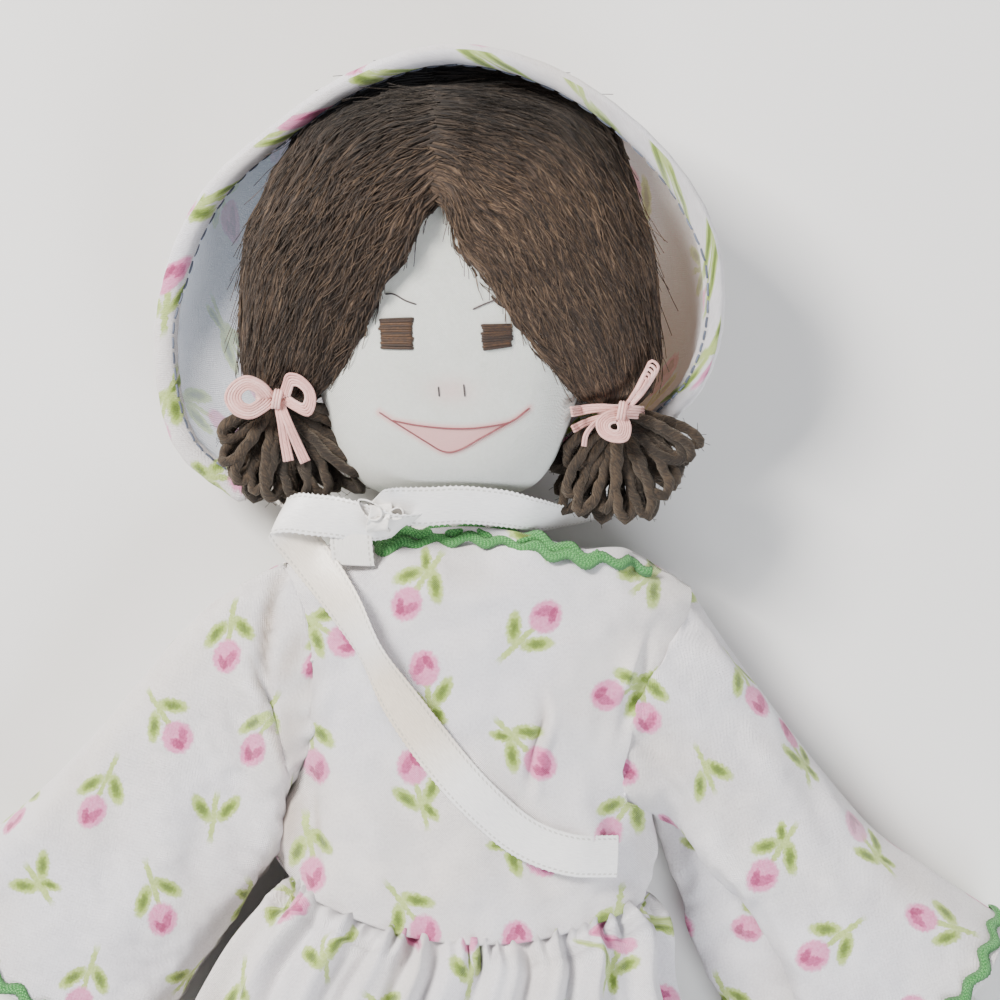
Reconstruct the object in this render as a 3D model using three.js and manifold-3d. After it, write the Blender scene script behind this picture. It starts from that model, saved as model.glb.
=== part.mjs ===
// A cloth rag doll lying on its back: a stuffed muslin body with brushed yarn hair in two
// pigtails, a print dress with bell sleeves, pantaloons, and a tied sun bonnet.
// Millimetres. +X is the doll's left hand side, +Y runs to the crown of the head and +Z out
// of its front. The origin is the middle of the bodice's back, on the surface it lies on.

import * as THREE from 'three';
import { mergeVertices } from 'three/addons/utils/BufferGeometryUtils.js';
import Module from 'manifold-3d';

const wasm = await Module();
wasm.setup();

// Cloth, stitching and clearances
const dressCloth = 1.2;
const fineCloth = 1;
const brimCloth = 1.8;
const clear = 0.4;
const seamGap = 0.3;
const flatCut = 0.5;
const cutOverrun = 60;
const weldDistance = 0.0001;
const probeShare = 0.002;

// Trunk
const torsoWidth = 80;
const torsoDepth = 35;
const torsoTop = 58;
const torsoSquareness = 2.6;
const hipY = -87.5;
const hipSpacing = 40;
const neckX = -6.7;
const neckY = 52.5;
const neckBall = 10.5;
const neckRise = 2.3;

// Limbs
const armRadius = 11.5;
const armLength = 128;
const armPivotX = 44.5;
const armPivotY = 23;
const armAxisZ = 15;
const armAngles = { right: THREE.MathUtils.degToRad(-34), left: THREE.MathUtils.degToRad(40) };
const legRadius = 14.5;
const legLength = 180;
const legSpread = THREE.MathUtils.degToRad(2.5);

// Head, hair and their lean on the neck
const headLean = THREE.MathUtils.degToRad(3);
const headWidth = 81;
const headHeight = 94;
const headDepth = 45;
const headSideShift = -2.2;
const chinRise = 5;
const headAxisRise = 10;
const hairWidth = 98;
const rightTieOut = 42.6;
const leftTieOut = 38.4;
const hairHeight = 77;
const hairDepth = 57;
const hairRise = 27;
const partGap = 0.4;
const faceOpeningWidth = 54.8;
const faceOpeningHeight = 48.2;
const faceOpeningShift = -1.6;
const faceOpeningRise = 26;

// Pigtails and their floss bows
const pigtailLength = 22;
const pigtailLobe = 8.8;
const pigtailFan = THREE.MathUtils.degToRad(50);
const pigtailRoot = 3.6;
const tieRise = 23.4;
const tieLength = 3;
const tieWall = 1.2;
const flossRadius = 1.1;
const bowLoop = 13;
const bowTail = 14;

// Bonnet
const brimWidth = 134.9;
const brimHeight = 108.5;
const brimRise = 3.2;
const brimShift = -5;
const brimFrontZ = 42;
const brimBackZ = 11.6;
const brimRoll = 2.3;
const crownWidth = 103;
const crownHeight = 97;
const crownDepth = 60;
const crownRise = 9;
const crownWall = 1.8;
const crownSquareness = 2.6;

// Dress
const bodiceDepth = 40;
const bodiceWaist = 84;
const shoulderWidth = 97;
const shoulderY = 40;
const necklineY = 47;
const necklineDip = 1.5;
const neckOpeningWidth = 60;
const neckOpeningDepth = 26;
const neckOpeningShift = 5;
const shoulderRound = 14;
const waistY = -36;
const waistDrop = 11;
const waistBackDrop = 2;
const backLap = 8;
const frontSquareness = 2.5;
const backSquareness = 5;
const skirtLength = 190;
const skirtHemWidth = 214;
const skirtFrontZ = 44;
const skirtLean = -5;
const skirtFolds = 22;
const skirtFoldDepth = 3.2;
const pantaloonWidth = 37;
const pantaloonLength = 156;
const pantaloonSquareness = 2.3;
const sleeveLength = 100;
const sleeveSpan = 62;
const sleeveHeight = 30;
const tuckDepth = 5;
const tuckStep = 9;

// Trims and fastenings
const rickrackBraid = 2.6;
const rickrackSwing = 3.2;
const rickrackThickness = 0.9;
const rickrackPitch = 8;
const braidGap = 0.9;
const ribbonWidth = 9.5;
const ribbonThickness = 0.5;

// Levels worked out from the layers that lie under each piece
const trunkAxisZ = bodiceDepth / 2 - flatCut;
const skirtFloor = seamGap + braidGap + rickrackThickness;
const pantaloonFloor = skirtFloor + dressCloth + clear;
const pantaloonReach = fineCloth + 3 * clear + legRadius;
const legAxisZ = pantaloonFloor + pantaloonReach;
const neckZ = trunkAxisZ + neckRise;
const headAxisZ = neckZ + headAxisRise;

// Turns a list of rows of numbers into a smooth curve and samples it
function smoothRows(rows, count) {
  const curves = [];
  for (let first = 1; first < rows[0].length; first += 2) {
    const points = rows.map((row) => new THREE.Vector3(row[0], row[first], row[first + 1] ?? 0));
    curves.push(new THREE.CatmullRomCurve3(points, false, 'centripetal'));
  }
  const samples = [];
  for (let i = 0; i <= count; i += 1) {
    const found = curves.map((curve) => curve.getPoint(i / count));
    samples.push([found[0].x, ...found.flatMap((point) => [point.y, point.z])]);
  }
  return samples;
}

function geometryFrom(positions, triangles) {
  const geometry = new THREE.BufferGeometry();
  geometry.setAttribute('position', new THREE.Float32BufferAttribute(positions, 3));
  geometry.setIndex(triangles);
  return geometry;
}

function toSolid(geometry) {
  const bare = geometry.clone();
  bare.deleteAttribute('normal');
  bare.deleteAttribute('uv');
  const merged = mergeVertices(bare, weldDistance);
  return new wasm.Manifold(new wasm.Mesh({
    numProp: 3,
    vertProperties: new Float32Array(merged.attributes.position.array),
    triVerts: new Uint32Array(merged.index.array),
  }));
}

function toGeometry(solid) {
  const mesh = solid.getMesh();
  return geometryFrom(Array.from(mesh.vertProperties), Array.from(mesh.triVerts));
}

// A stuffed form along +Y: each row of shares gives the place along the length, the half
// width, the half depth, and the shifts sideways and forwards of that oval
function stuffedForm({ length, width, depth, shares, sides, rings, squareness = 2 }) {
  const rows = smoothRows(shares, rings);
  const positions = [];
  const triangles = [];
  const last = rows.length - 1;
  const centre = ([along, , , side = 0, front = 0]) => [
    side * width / 2,
    along * length,
    front * depth / 2,
  ];
  positions.push(...centre(rows[0]));
  for (let ring = 1; ring < last; ring += 1) {
    const [x, y, z] = centre(rows[ring]);
    for (let side = 0; side < sides; side += 1) {
      const turn = side / sides * 2 * Math.PI;
      const cos = Math.cos(turn);
      const sin = Math.sin(turn);
      const across = Math.sign(cos) * Math.abs(cos) ** (2 / squareness);
      const up = Math.sign(sin) * Math.abs(sin) ** (2 / squareness);
      positions.push(x + across * rows[ring][1] * width / 2, y, z + up * rows[ring][2] * depth / 2);
    }
  }
  positions.push(...centre(rows[last]));
  const at = (ring, side) => 1 + (ring - 1) * sides + side % sides;
  const end = positions.length / 3 - 1;
  for (let side = 0; side < sides; side += 1) {
    triangles.push(0, at(1, side), at(1, side + 1));
    triangles.push(end, at(last - 1, side + 1), at(last - 1, side));
    for (let ring = 1; ring < last - 1; ring += 1) {
      triangles.push(at(ring, side), at(ring + 1, side), at(ring + 1, side + 1));
      triangles.push(at(ring, side), at(ring + 1, side + 1), at(ring, side + 1));
    }
  }
  return geometryFrom(positions, triangles);
}

// A sheet of cloth through rows of points on its outer side, given its thickness inwards;
// where a floor is given, no layer sinks below it
function clothSheet(rows, thickness, { closed = false, floor = -Infinity } = {}) {
  const across = rows[0].length;
  const along = rows.length;
  const wrap = (i) => (closed ? (i + across) % across : Math.min(Math.max(i, 0), across - 1));
  const normals = rows.map((row, j) => row.map((point, i) => {
    const side = row[wrap(i + 1)].clone().sub(row[wrap(i - 1)]);
    const down = rows[Math.min(j + 1, along - 1)][i].clone().sub(rows[Math.max(j - 1, 0)][i]);
    return side.cross(down).normalize();
  }));
  const positions = [];
  rows.forEach((row) => row.forEach((point) => {
    positions.push(point.x, point.y, Math.max(point.z, floor));
  }));
  rows.forEach((row, j) => row.forEach((point, i) => {
    const inner = point.clone().addScaledVector(normals[j][i], -thickness);
    positions.push(inner.x, inner.y, Math.max(inner.z, floor + thickness));
  }));
  const outer = (j, i) => j * across + wrap(i);
  const inner = (j, i) => along * across + outer(j, i);
  const triangles = [];
  const quad = (a, b, c, d) => triangles.push(a, b, c, a, c, d);
  const spans = closed ? across : across - 1;
  for (let i = 0; i < spans; i += 1) {
    for (let j = 0; j < along - 1; j += 1) {
      quad(outer(j, i), outer(j, i + 1), outer(j + 1, i + 1), outer(j + 1, i));
      quad(inner(j, i + 1), inner(j, i), inner(j + 1, i), inner(j + 1, i + 1));
    }
    quad(outer(0, i + 1), outer(0, i), inner(0, i), inner(0, i + 1));
    quad(outer(along - 1, i), outer(along - 1, i + 1), inner(along - 1, i + 1), inner(along - 1, i));
  }
  if (!closed) {
    for (let j = 0; j < along - 1; j += 1) {
      quad(outer(j, 0), outer(j + 1, 0), inner(j + 1, 0), inner(j, 0));
      quad(outer(j + 1, across - 1), outer(j, across - 1), inner(j, across - 1), inner(j + 1, across - 1));
    }
  }
  return geometryFrom(positions, triangles);
}

// A closed ring of evenly spaced points through a few places, no lower than the dress lies
function evenRing(places, count) {
  const curve = new THREE.CatmullRomCurve3(places, true, 'centripetal');
  const ring = curve.getSpacedPoints(count).slice(0, count);
  return ring.map((point) => point.setZ(Math.max(point.z, skirtFloor)));
}

// Rickrack braid that swings from side to side along a row of stations
function rickrack(stations, closed) {
  const positions = [];
  const triangles = [];
  stations.forEach(({ point, outward, along }, i) => {
    const swing = (i % 2 ? 1 : -1) * (rickrackSwing - rickrackBraid / 2) / 2;
    [[-1, 0], [1, 0], [1, 1], [-1, 1]].forEach(([side, lift]) => {
      const corner = point.clone();
      corner.addScaledVector(along, swing + side * rickrackBraid / 2);
      corner.addScaledVector(outward, braidGap + lift * rickrackThickness);
      positions.push(corner.x, corner.y, corner.z);
    });
  });
  const count = stations.length;
  const at = (i, corner) => (i % count) * 4 + corner % 4;
  for (let i = 0; i < (closed ? count : count - 1); i += 1) {
    for (let corner = 0; corner < 4; corner += 1) {
      triangles.push(at(i, corner), at(i, corner + 1), at(i + 1, corner + 1));
      triangles.push(at(i, corner), at(i + 1, corner + 1), at(i + 1, corner));
    }
  }
  if (!closed) {
    const end = count - 1;
    triangles.push(at(0, 2), at(0, 1), at(0, 0), at(0, 3), at(0, 2), at(0, 0));
    triangles.push(at(end, 0), at(end, 1), at(end, 2), at(end, 0), at(end, 2), at(end, 3));
  }
  return geometryFrom(positions, triangles);
}

// Stations for braid on a closed sheet, a share of the way between its last two rows
function hemStations(rows, share) {
  const before = rows[rows.length - 2];
  const after = rows[rows.length - 1];
  const count = before.length;
  return before.map((point, i) => {
    const along = after[i].clone().sub(point).normalize();
    const side = after[(i + 1) % count].clone().sub(after[(i + count - 1) % count]);
    return {
      point: point.clone().lerp(after[i], share),
      outward: side.cross(along).normalize(),
      along,
    };
  });
}

const doll = new THREE.Group();
doll.name = 'rag_doll';
const headGroup = new THREE.Group();
headGroup.position.set(neckX, neckY, neckZ);
headGroup.rotation.z = headLean;
doll.add(headGroup);

const finishes = {
  muslin: { color: 0xe6e6dc, roughness: 0.9, metalness: 0 },
  print: { color: 0xe9e4ea, roughness: 0.88, metalness: 0 },
  yarn: { color: 0x3a2c22, roughness: 0.95, metalness: 0 },
  floss: { color: 0xdca59a, roughness: 0.7, metalness: 0 },
  satin: { color: 0xf0ece2, roughness: 0.4, metalness: 0 },
  braid: { color: 0x3fa045, roughness: 0.8, metalness: 0 },
  calico: { color: 0xf2f1ee, roughness: 0.9, metalness: 0 },
};

function addPiece(name, geometry, finish, group = doll) {
  const mesh = new THREE.Mesh(geometry, new THREE.MeshStandardMaterial(finishes[finish]));
  mesh.name = name;
  group.add(mesh);
  return mesh;
}

// Stuffed body

const torsoShares = [
  [0, 0, 0, 0, 0],
  [0.008, 0.6, 0.56, 0, 0],
  [0.04, 0.82, 0.72, 0, 0],
  [0.12, 0.87, 0.8, 0, 0],
  [0.2, 0.89, 0.83, 0, 0],
  [0.3, 0.92, 0.88, 0, 0],
  [0.39, 0.93, 0.98, 0, 0],
  [0.47, 0.91, 1, 0, 0],
  [0.66, 0.89, 0.96, 0, 0],
  [0.77, 0.88, 0.9, 0, 0],
  [0.82, 0.76, 0.74, -0.01, 0],
  [0.87, 0.48, 0.58, -0.05, 0],
  [0.9, 0.36, 0.54, -0.1, 0.06],
  [0.94, 0.32, 0.5, -0.14, 0.1],
  [0.98, 0.28, 0.48, -neckX / torsoWidth * -2, 0.11],
  [1, 0, 0, -neckX / torsoWidth * -2, 0.12],
];

function cylinderAlong(axis, radius, length) {
  const geometry = new THREE.CylinderGeometry(radius, radius, length, 28);
  if (axis === 'x') geometry.rotateZ(Math.PI / 2);
  if (axis === 'z') geometry.rotateX(Math.PI / 2);
  return geometry;
}

function makeTorso() {
  const torsoBottom = hipY + legRadius + clear;
  const form = stuffedForm({
    length: torsoTop - torsoBottom,
    width: torsoWidth,
    depth: torsoDepth,
    shares: torsoShares,
    sides: 24,
    rings: 18,
    squareness: torsoSquareness,
  });
  form.translate(0, torsoBottom, trunkAxisZ);
  const ball = new THREE.SphereGeometry(neckBall, 18, 12);
  ball.translate(neckX, neckY, neckZ);
  let solid = toSolid(form).add(toSolid(ball));
  for (const side of [-1, 1]) {
    const armhole = cylinderAlong('z', armRadius + clear, cutOverrun * 2);
    armhole.translate(side * armPivotX, armPivotY, trunkAxisZ);
    solid = solid.subtract(toSolid(armhole));
  }
  const hip = cylinderAlong('x', legRadius + clear, cutOverrun * 4);
  hip.translate(0, hipY, legAxisZ);
  return toGeometry(solid.subtract(toSolid(hip)));
}

addPiece('torso', makeTorso(), 'muslin');

const armShares = [
  [0, 0, 0, 0, 0],
  [0.012, 0.46, 0.46, 0, 0],
  [0.045, 0.82, 0.82, 0, 0],
  [0.09, 1, 1, 0, 0],
  [0.18, 0.97, 0.97, 0, -0.03],
  [0.4, 0.9, 0.9, 0, -0.1],
  [0.62, 0.8, 0.8, 0, -0.2],
  [0.78, 0.68, 0.66, 0, -0.32],
  [0.86, 0.84, 0.68, 0, -0.3],
  [0.93, 0.9, 0.66, 0, -0.32],
  [0.985, 0.58, 0.4, 0, -0.32],
  [1, 0, 0, 0, -0.32],
];

const legShares = [
  [0, 0, 0, 0, 0],
  [0.01, 0.46, 0.46, 0, 0],
  [0.035, 0.82, 0.82, 0, 0],
  [0.075, 1, 1, 0, 0],
  [0.25, 0.98, 0.98, 0, -0.02],
  [0.48, 0.84, 0.84, 0, -0.16],
  [0.66, 0.82, 0.84, 0, -0.16],
  [0.84, 0.62, 0.64, 0, -0.34],
  [0.89, 0.66, 0.82, 0, -0.22],
  [0.94, 0.74, 1.18, 0, -0.12],
  [0.985, 0.6, 0.94, 0, -0.08],
  [1, 0, 0, 0, -0.06],
];

// A limb hangs along -Y from the centre of the ball at its top
function limbForm(length, radius, shares, rings) {
  const form = stuffedForm({
    length: length + radius,
    width: radius * 2,
    depth: radius * 2,
    shares,
    sides: 16,
    rings,
  });
  form.rotateZ(Math.PI);
  form.translate(0, radius, 0);
  return form;
}

const sides = [
  { name: 'right', sign: -1, armAngle: armAngles.right },
  { name: 'left', sign: 1, armAngle: armAngles.left },
];

for (const { name, sign, armAngle } of sides) {
  const arm = addPiece(`arm_${name}`, limbForm(armLength, armRadius, armShares, 13), 'muslin');
  arm.position.set(sign * armPivotX, armPivotY, armAxisZ);
  arm.rotation.z = armAngle;
  const leg = addPiece(`leg_${name}`, limbForm(legLength, legRadius, legShares, 15), 'muslin');
  leg.position.set(sign * hipSpacing / 2, hipY, legAxisZ);
  leg.rotation.z = sign * legSpread;
}

// Head, in its own upright frame with the neck's ball at its origin

const headShares = [
  [0, 0, 0],
  [0.008, 0.32, 0.2],
  [0.022, 0.45, 0.36],
  [0.05, 0.54, 0.52],
  [0.1, 0.62, 0.68],
  [0.18, 0.7, 0.82],
  [0.29, 0.775, 0.92],
  [0.4, 0.87, 0.98],
  [0.5, 0.95, 1],
  [0.62, 1, 1],
  [0.73, 0.99, 0.98],
  [0.83, 0.91, 0.9],
  [0.92, 0.7, 0.7],
  [0.975, 0.42, 0.42],
  [1, 0, 0],
];

const hairShares = [
  [0, 0, 0],
  [0.006, 0.66, 0.22],
  [0.025, 0.9, 0.3],
  [0.07, 0.97, 0.42],
  [0.17, 1, 0.64],
  [0.33, 1, 0.9],
  [0.52, 0.98, 1],
  [0.66, 0.91, 0.95],
  [0.78, 0.8, 0.85],
  [0.88, 0.62, 0.68],
  [0.955, 0.38, 0.45],
  [1, 0, 0],
];

const crownShares = [
  [0, 0, 0],
  [0.015, 0.5, 0.5],
  [0.05, 0.74, 0.74],
  [0.12, 0.9, 0.92],
  [0.25, 0.99, 1],
  [0.5, 1, 1],
  [0.68, 0.92, 0.97],
  [0.82, 0.76, 0.84],
  [0.92, 0.54, 0.64],
  [0.98, 0.28, 0.36],
  [1, 0, 0],
];

// The face opening's edge from its lower right, over the peak of the parting, to its lower
// left, as shares of its half width and of its height
const faceOpeningShares = [
  [1.05, -1],
  [1, 0],
  [0.86, 0.19],
  [0.55, 0.4],
  [0.4, 0.53],
  [0.27, 0.64],
  [0.09, 0.76],
  [-0.04, 0.95],
  [-0.15, 1],
  [-0.27, 0.87],
  [-0.415, 0.7],
  [-0.58, 0.56],
  [-0.71, 0.41],
  [-0.86, 0.26],
  [-0.92, 0.14],
  [-1, 0],
  [-1.05, -1],
];

const headZ = headAxisZ - neckZ;
const crownZ = crownDepth / 2 - flatCut - neckZ;
const crownInnerFloor = crownWall - flatCut - neckZ;
const hairZ = crownInnerFloor + 2 * clear + hairDepth / 2;

function headForm(grow) {
  const form = stuffedForm({
    length: headHeight + 2 * grow,
    width: headWidth + 2 * grow,
    depth: headDepth + 2 * grow,
    shares: headShares,
    sides: 28,
    rings: 17,
  });
  form.translate(headSideShift, chinRise - grow, headZ);
  return form;
}

function makeHead() {
  const socket = new THREE.SphereGeometry(neckBall + clear, 18, 12);
  return toGeometry(toSolid(headForm(0)).subtract(toSolid(socket)));
}

function boxBetween(low, high) {
  const size = high.clone().sub(low);
  const geometry = new THREE.BoxGeometry(size.x, size.y, size.z);
  const middle = low.clone().add(high).multiplyScalar(1 / 2);
  geometry.translate(middle.x, middle.y, middle.z);
  return toSolid(geometry);
}

const ties = [
  { name: 'right', x: -rightTieOut, sign: -1 },
  { name: 'left', x: leftTieOut, sign: 1 },
];
const partX = faceOpeningShift - 0.15 * faceOpeningWidth / 2;

function makeHair() {
  const outer = stuffedForm({
    length: hairHeight,
    width: hairWidth,
    depth: hairDepth,
    shares: hairShares,
    sides: 28,
    rings: 14,
    squareness: 2.2,
  });
  outer.translate(headSideShift, hairRise, hairZ);
  const outline = faceOpeningShares.map(([across, up]) => new THREE.Vector2(
    faceOpeningShift + across * faceOpeningWidth / 2,
    faceOpeningRise + up * faceOpeningHeight,
  ));
  const opening = new THREE.ExtrudeGeometry(new THREE.Shape(outline), {
    depth: cutOverrun,
    bevelEnabled: false,
  });
  opening.translate(0, 0, headZ);
  return toSolid(outer).subtract(toSolid(headForm(clear))).subtract(toSolid(opening));
}

const hair = makeHair();
const farLow = new THREE.Vector3(-1, -1, -1).multiplyScalar(cutOverrun * 3);
const farHigh = new THREE.Vector3(1, 1, 1).multiplyScalar(cutOverrun * 3);

function hairHalf(sign) {
  const low = farLow.clone();
  const high = farHigh.clone();
  if (sign < 0) low.x = partX - partGap / 2;
  else high.x = partX + partGap / 2;
  return toGeometry(hair.subtract(boxBetween(low, high)));
}

addPiece('head', makeHead(), 'muslin', headGroup);
addPiece('hair_right', hairHalf(-1), 'yarn', headGroup);
addPiece('hair_left', hairHalf(1), 'yarn', headGroup);

const lobeShares = [
  [0, 0, 0],
  [0.04, 0.4, 0.4],
  [0.2, 0.6, 0.6],
  [0.5, 0.86, 0.86],
  [0.78, 1, 1],
  [0.95, 0.62, 0.62],
  [1, 0, 0],
];
const lobeTurnShares = [-1, -0.5, 0, 0.5, 1];
const lobeLengthShares = [0.82, 0.96, 1, 0.96, 0.82];
const lobeLiftShares = [0, 0.55, -0.35, 0.55, 0];

// A pigtail is a bunch of yarn loops that fans out below a short bound root
function makePigtail() {
  const root = new THREE.CylinderGeometry(pigtailRoot, pigtailRoot, tieLength + pigtailRoot, 12);
  root.translate(0, (tieLength - pigtailRoot) / 2, 0);
  return toGeometry(lobeTurnShares.reduce((bunch, turn, i) => {
    const length = lobeLengthShares[i] * pigtailLength;
    const lobe = stuffedForm({
      length,
      width: pigtailLobe,
      depth: pigtailLobe,
      shares: lobeShares,
      sides: 9,
      rings: 6,
    });
    lobe.rotateX(Math.atan2(lobeLiftShares[i] * pigtailLobe, length));
    lobe.rotateZ(Math.PI + turn * pigtailFan);
    return bunch.add(toSolid(lobe));
  }, toSolid(root)));
}

// Floss laid along a smooth line, its ends hidden in the knot
function flossTube(places, steps) {
  const outline = new THREE.Shape(Array.from({ length: 6 }, (_, i) => new THREE.Vector2(
    Math.cos(i * Math.PI / 3) * flossRadius,
    Math.sin(i * Math.PI / 3) * flossRadius,
  )));
  return toSolid(new THREE.ExtrudeGeometry(outline, {
    steps,
    extrudePath: new THREE.CatmullRomCurve3(places.map((place) => new THREE.Vector3(...place))),
    bevelEnabled: false,
  }));
}

const bowLoopShares = [
  [0, 0, 0],
  [0.42, 0.3, 0.2],
  [0.86, 0.34, 0.3],
  [0.98, 0.02, 0.24],
  [0.82, -0.24, 0.12],
  [0.36, -0.14, 0.04],
  [0, 0, 0],
];
const innerLoopShare = 0.68;
const bowTailShares = [
  [0, 0, 0],
  [0.12, -0.3, 0.14],
  [0.2, -0.66, 0.26],
  [0.34, -1, 0.28],
];

// The floss goes round the pigtail's root, and is tied in front in a bow with two ends
function makeBow(sign) {
  const inner = pigtailRoot + clear;
  const outer = inner + tieWall;
  const ring = new THREE.LatheGeometry([
    new THREE.Vector2(inner, flossRadius),
    new THREE.Vector2(outer, flossRadius),
    new THREE.Vector2(outer, tieLength),
    new THREE.Vector2(inner, tieLength),
    new THREE.Vector2(inner, flossRadius),
  ], 14);
  const knotZ = outer + 2.5 * flossRadius;
  const knot = new THREE.SphereGeometry(flossRadius * 2.8, 9, 6);
  knot.translate(0, tieLength / 2, knotZ);
  let bow = toSolid(ring).add(toSolid(knot));
  for (const side of [-1, 1]) {
    const reach = side === sign ? 1 : innerLoopShare;
    const loop = bowLoopShares.map(([x, y, z]) => [
      side * x * bowLoop * reach,
      tieLength / 2 + y * bowLoop,
      knotZ + z * bowLoop,
    ]);
    const end = bowTailShares.map(([x, y, z]) => [
      (sign < 0 ? x : x * side) * bowTail + side * flossRadius,
      tieLength / 2 + y * bowTail,
      knotZ + z * bowTail + side * flossRadius / 2,
    ]);
    bow = bow.add(flossTube(loop, 11)).add(flossTube(end, 5));
  }
  return toGeometry(bow);
}

for (const { name, x, sign } of ties) {
  const pigtail = addPiece(`pigtail_${name}`, makePigtail(), 'yarn', headGroup);
  pigtail.position.set(x, tieRise, hairZ);
  const bow = addPiece(`floss_bow_${name}`, makeBow(sign), 'floss', headGroup);
  bow.position.set(x, tieRise, hairZ);
}

// Sun bonnet

function crownForm(grow) {
  const form = stuffedForm({
    length: crownHeight + 2 * grow,
    width: crownWidth + 2 * grow,
    depth: crownDepth + 2 * grow,
    shares: crownShares,
    sides: 32,
    rings: 15,
    squareness: crownSquareness,
  });
  form.translate(headSideShift, crownRise - grow, crownZ);
  return form;
}

function makeCrown() {
  const top = farLow.clone();
  top.z = brimBackZ - neckZ;
  const under = farHigh.clone();
  under.z = -neckZ;
  return toGeometry(toSolid(crownForm(0))
    .subtract(toSolid(crownForm(-crownWall)))
    .subtract(boxBetween(top, farHigh))
    .subtract(boxBetween(farLow, under)));
}

addPiece('bonnet_crown', makeCrown(), 'print', headGroup);

// The brim's free edge from its lower right, over the top, to its lower left: shares of half
// its width, of its height and of its rise
const brimEdgeShares = [
  [0.67, 0.05, 0.34],
  [0.8, 0.17, 0.5],
  [0.935, 0.264, 0.68],
  [1, 0.4, 0.82],
  [0.966, 0.602, 0.9],
  [0.78, 0.78, 0.96],
  [0.432, 0.942, 1],
  [0.05, 1, 1],
  [-0.288, 0.942, 0.97],
  [-0.567, 0.829, 0.88],
  [-0.815, 0.692, 0.75],
  [-0.965, 0.5, 0.62],
  [-1, 0.318, 0.52],
  [-0.93, 0.123, 0.4],
  [-0.703, 0.004, 0.3],
];

// The crown's rim where the brim is sewn on, at the same stations round the head
const brimSeamShares = [
  [0.86, 0.1],
  [0.97, 0.2],
  [1, 0.3],
  [1, 0.46],
  [0.94, 0.64],
  [0.76, 0.81],
  [0.4, 0.955],
  [0, 1],
  [-0.4, 0.955],
  [-0.7, 0.85],
  [-0.9, 0.71],
  [-1, 0.5],
  [-1, 0.32],
  [-0.97, 0.2],
  [-0.86, 0.1],
];
const crownRimShare = (1 - ((crownDepth / 2 - flatCut - brimBackZ) / (crownDepth / 2))
  ** crownSquareness) ** (1 / crownSquareness);

const brimEdge = new THREE.CatmullRomCurve3(brimEdgeShares.map(([x, y, z]) => new THREE.Vector3(
  brimShift + x * (brimWidth / 2 - brimRoll),
  brimRise + brimRoll + y * (brimHeight - 2 * brimRoll),
  z * brimFrontZ - neckZ,
)), false, 'centripetal');

const brimSeam = new THREE.CatmullRomCurve3(brimSeamShares.map(([x, y]) => new THREE.Vector3(
  headSideShift + x * crownWidth / 2 * crownRimShare,
  crownRise + y * crownHeight * (1 + crownRimShare) / 2,
  brimBackZ + seamGap - neckZ,
)), false, 'centripetal');

function makeBrim() {
  const stations = 34;
  const rows = [];
  const bellyShares = [0, 0.2, 0.13, 0];
  bellyShares.forEach((belly, j) => {
    const row = [];
    for (let i = 0; i <= stations; i += 1) {
      const from = brimSeam.getPoint(i / stations);
      const edge = brimEdge.getPoint(i / stations);
      const reach = edge.clone().sub(from);
      const stop = 1 - (brimRoll + 2 * clear) / reach.length();
      const place = from.clone().addScaledVector(reach, stop * j / (bellyShares.length - 1));
      const away = new THREE.Vector3(place.x - headSideShift, place.y - crownRise - crownHeight / 2, 0);
      row.push(place.addScaledVector(away.normalize(), belly * reach.length()));
    }
    rows.push(row);
  });
  return clothSheet(rows, brimCloth);
}

function makeBrimRoll() {
  const outline = new THREE.Shape(Array.from({ length: 8 }, (_, i) => new THREE.Vector2(
    Math.cos(i * Math.PI / 4) * brimRoll,
    Math.sin(i * Math.PI / 4) * brimRoll,
  )));
  return new THREE.ExtrudeGeometry(outline, { steps: 34, extrudePath: brimEdge, bevelEnabled: false });
}

addPiece('bonnet_brim', makeBrim(), 'print', headGroup);
addPiece('bonnet_brim_hem', makeBrimRoll(), 'print', headGroup);

// Dress. The armhole's edge and the bodice's dome by height: shares of the way from the
// shoulder down to the waist, of half the shoulder width and of half the waist
const bodiceShares = [
  [0, 1, 1.24],
  [0.08, 0.93, 1.23],
  [0.16, 0.875, 1.21],
  [0.3, 0.815, 1.19],
  [0.46, 0.79, 1.1],
  [0.6, 0.81, 1.02],
  [0.684, 0.866, 1],
  [1, 0.866, 1],
];
const underarmShare = 0.684;

function shareAt(table, place, column) {
  const after = Math.max(table.findIndex((row) => row[0] >= place), 1);
  const [low, high] = [table[after - 1], table[after]];
  const part = Math.min(Math.max((place - low[0]) / (high[0] - low[0]), 0), 1);
  return low[column] + part * (high[column] - low[column]);
}

const bodiceFront = { squareness: frontSquareness, sign: 1, drop: waistDrop };
const bodiceBack = { squareness: backSquareness, sign: -1, drop: waistBackDrop };

function bodiceTop(x) {
  const beyond = Math.max(Math.abs(x) - neckOpeningWidth / 4, 0) / (shoulderWidth / 2 - neckOpeningWidth / 4);
  return necklineY - (necklineY - shoulderY) * beyond ** 3;
}

function waistAt(x, drop) {
  return waistY - drop * (1 - Math.min((x / (bodiceWaist / 2)) ** 2, 1));
}

function neckShareAt(x) {
  return Math.max(1 - ((x - neckOpeningShift) / (neckOpeningWidth / 2)) ** 2, 0);
}

function bodiceDome(down) {
  return shareAt(bodiceShares, down, 2) * bodiceWaist / 2;
}

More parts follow.
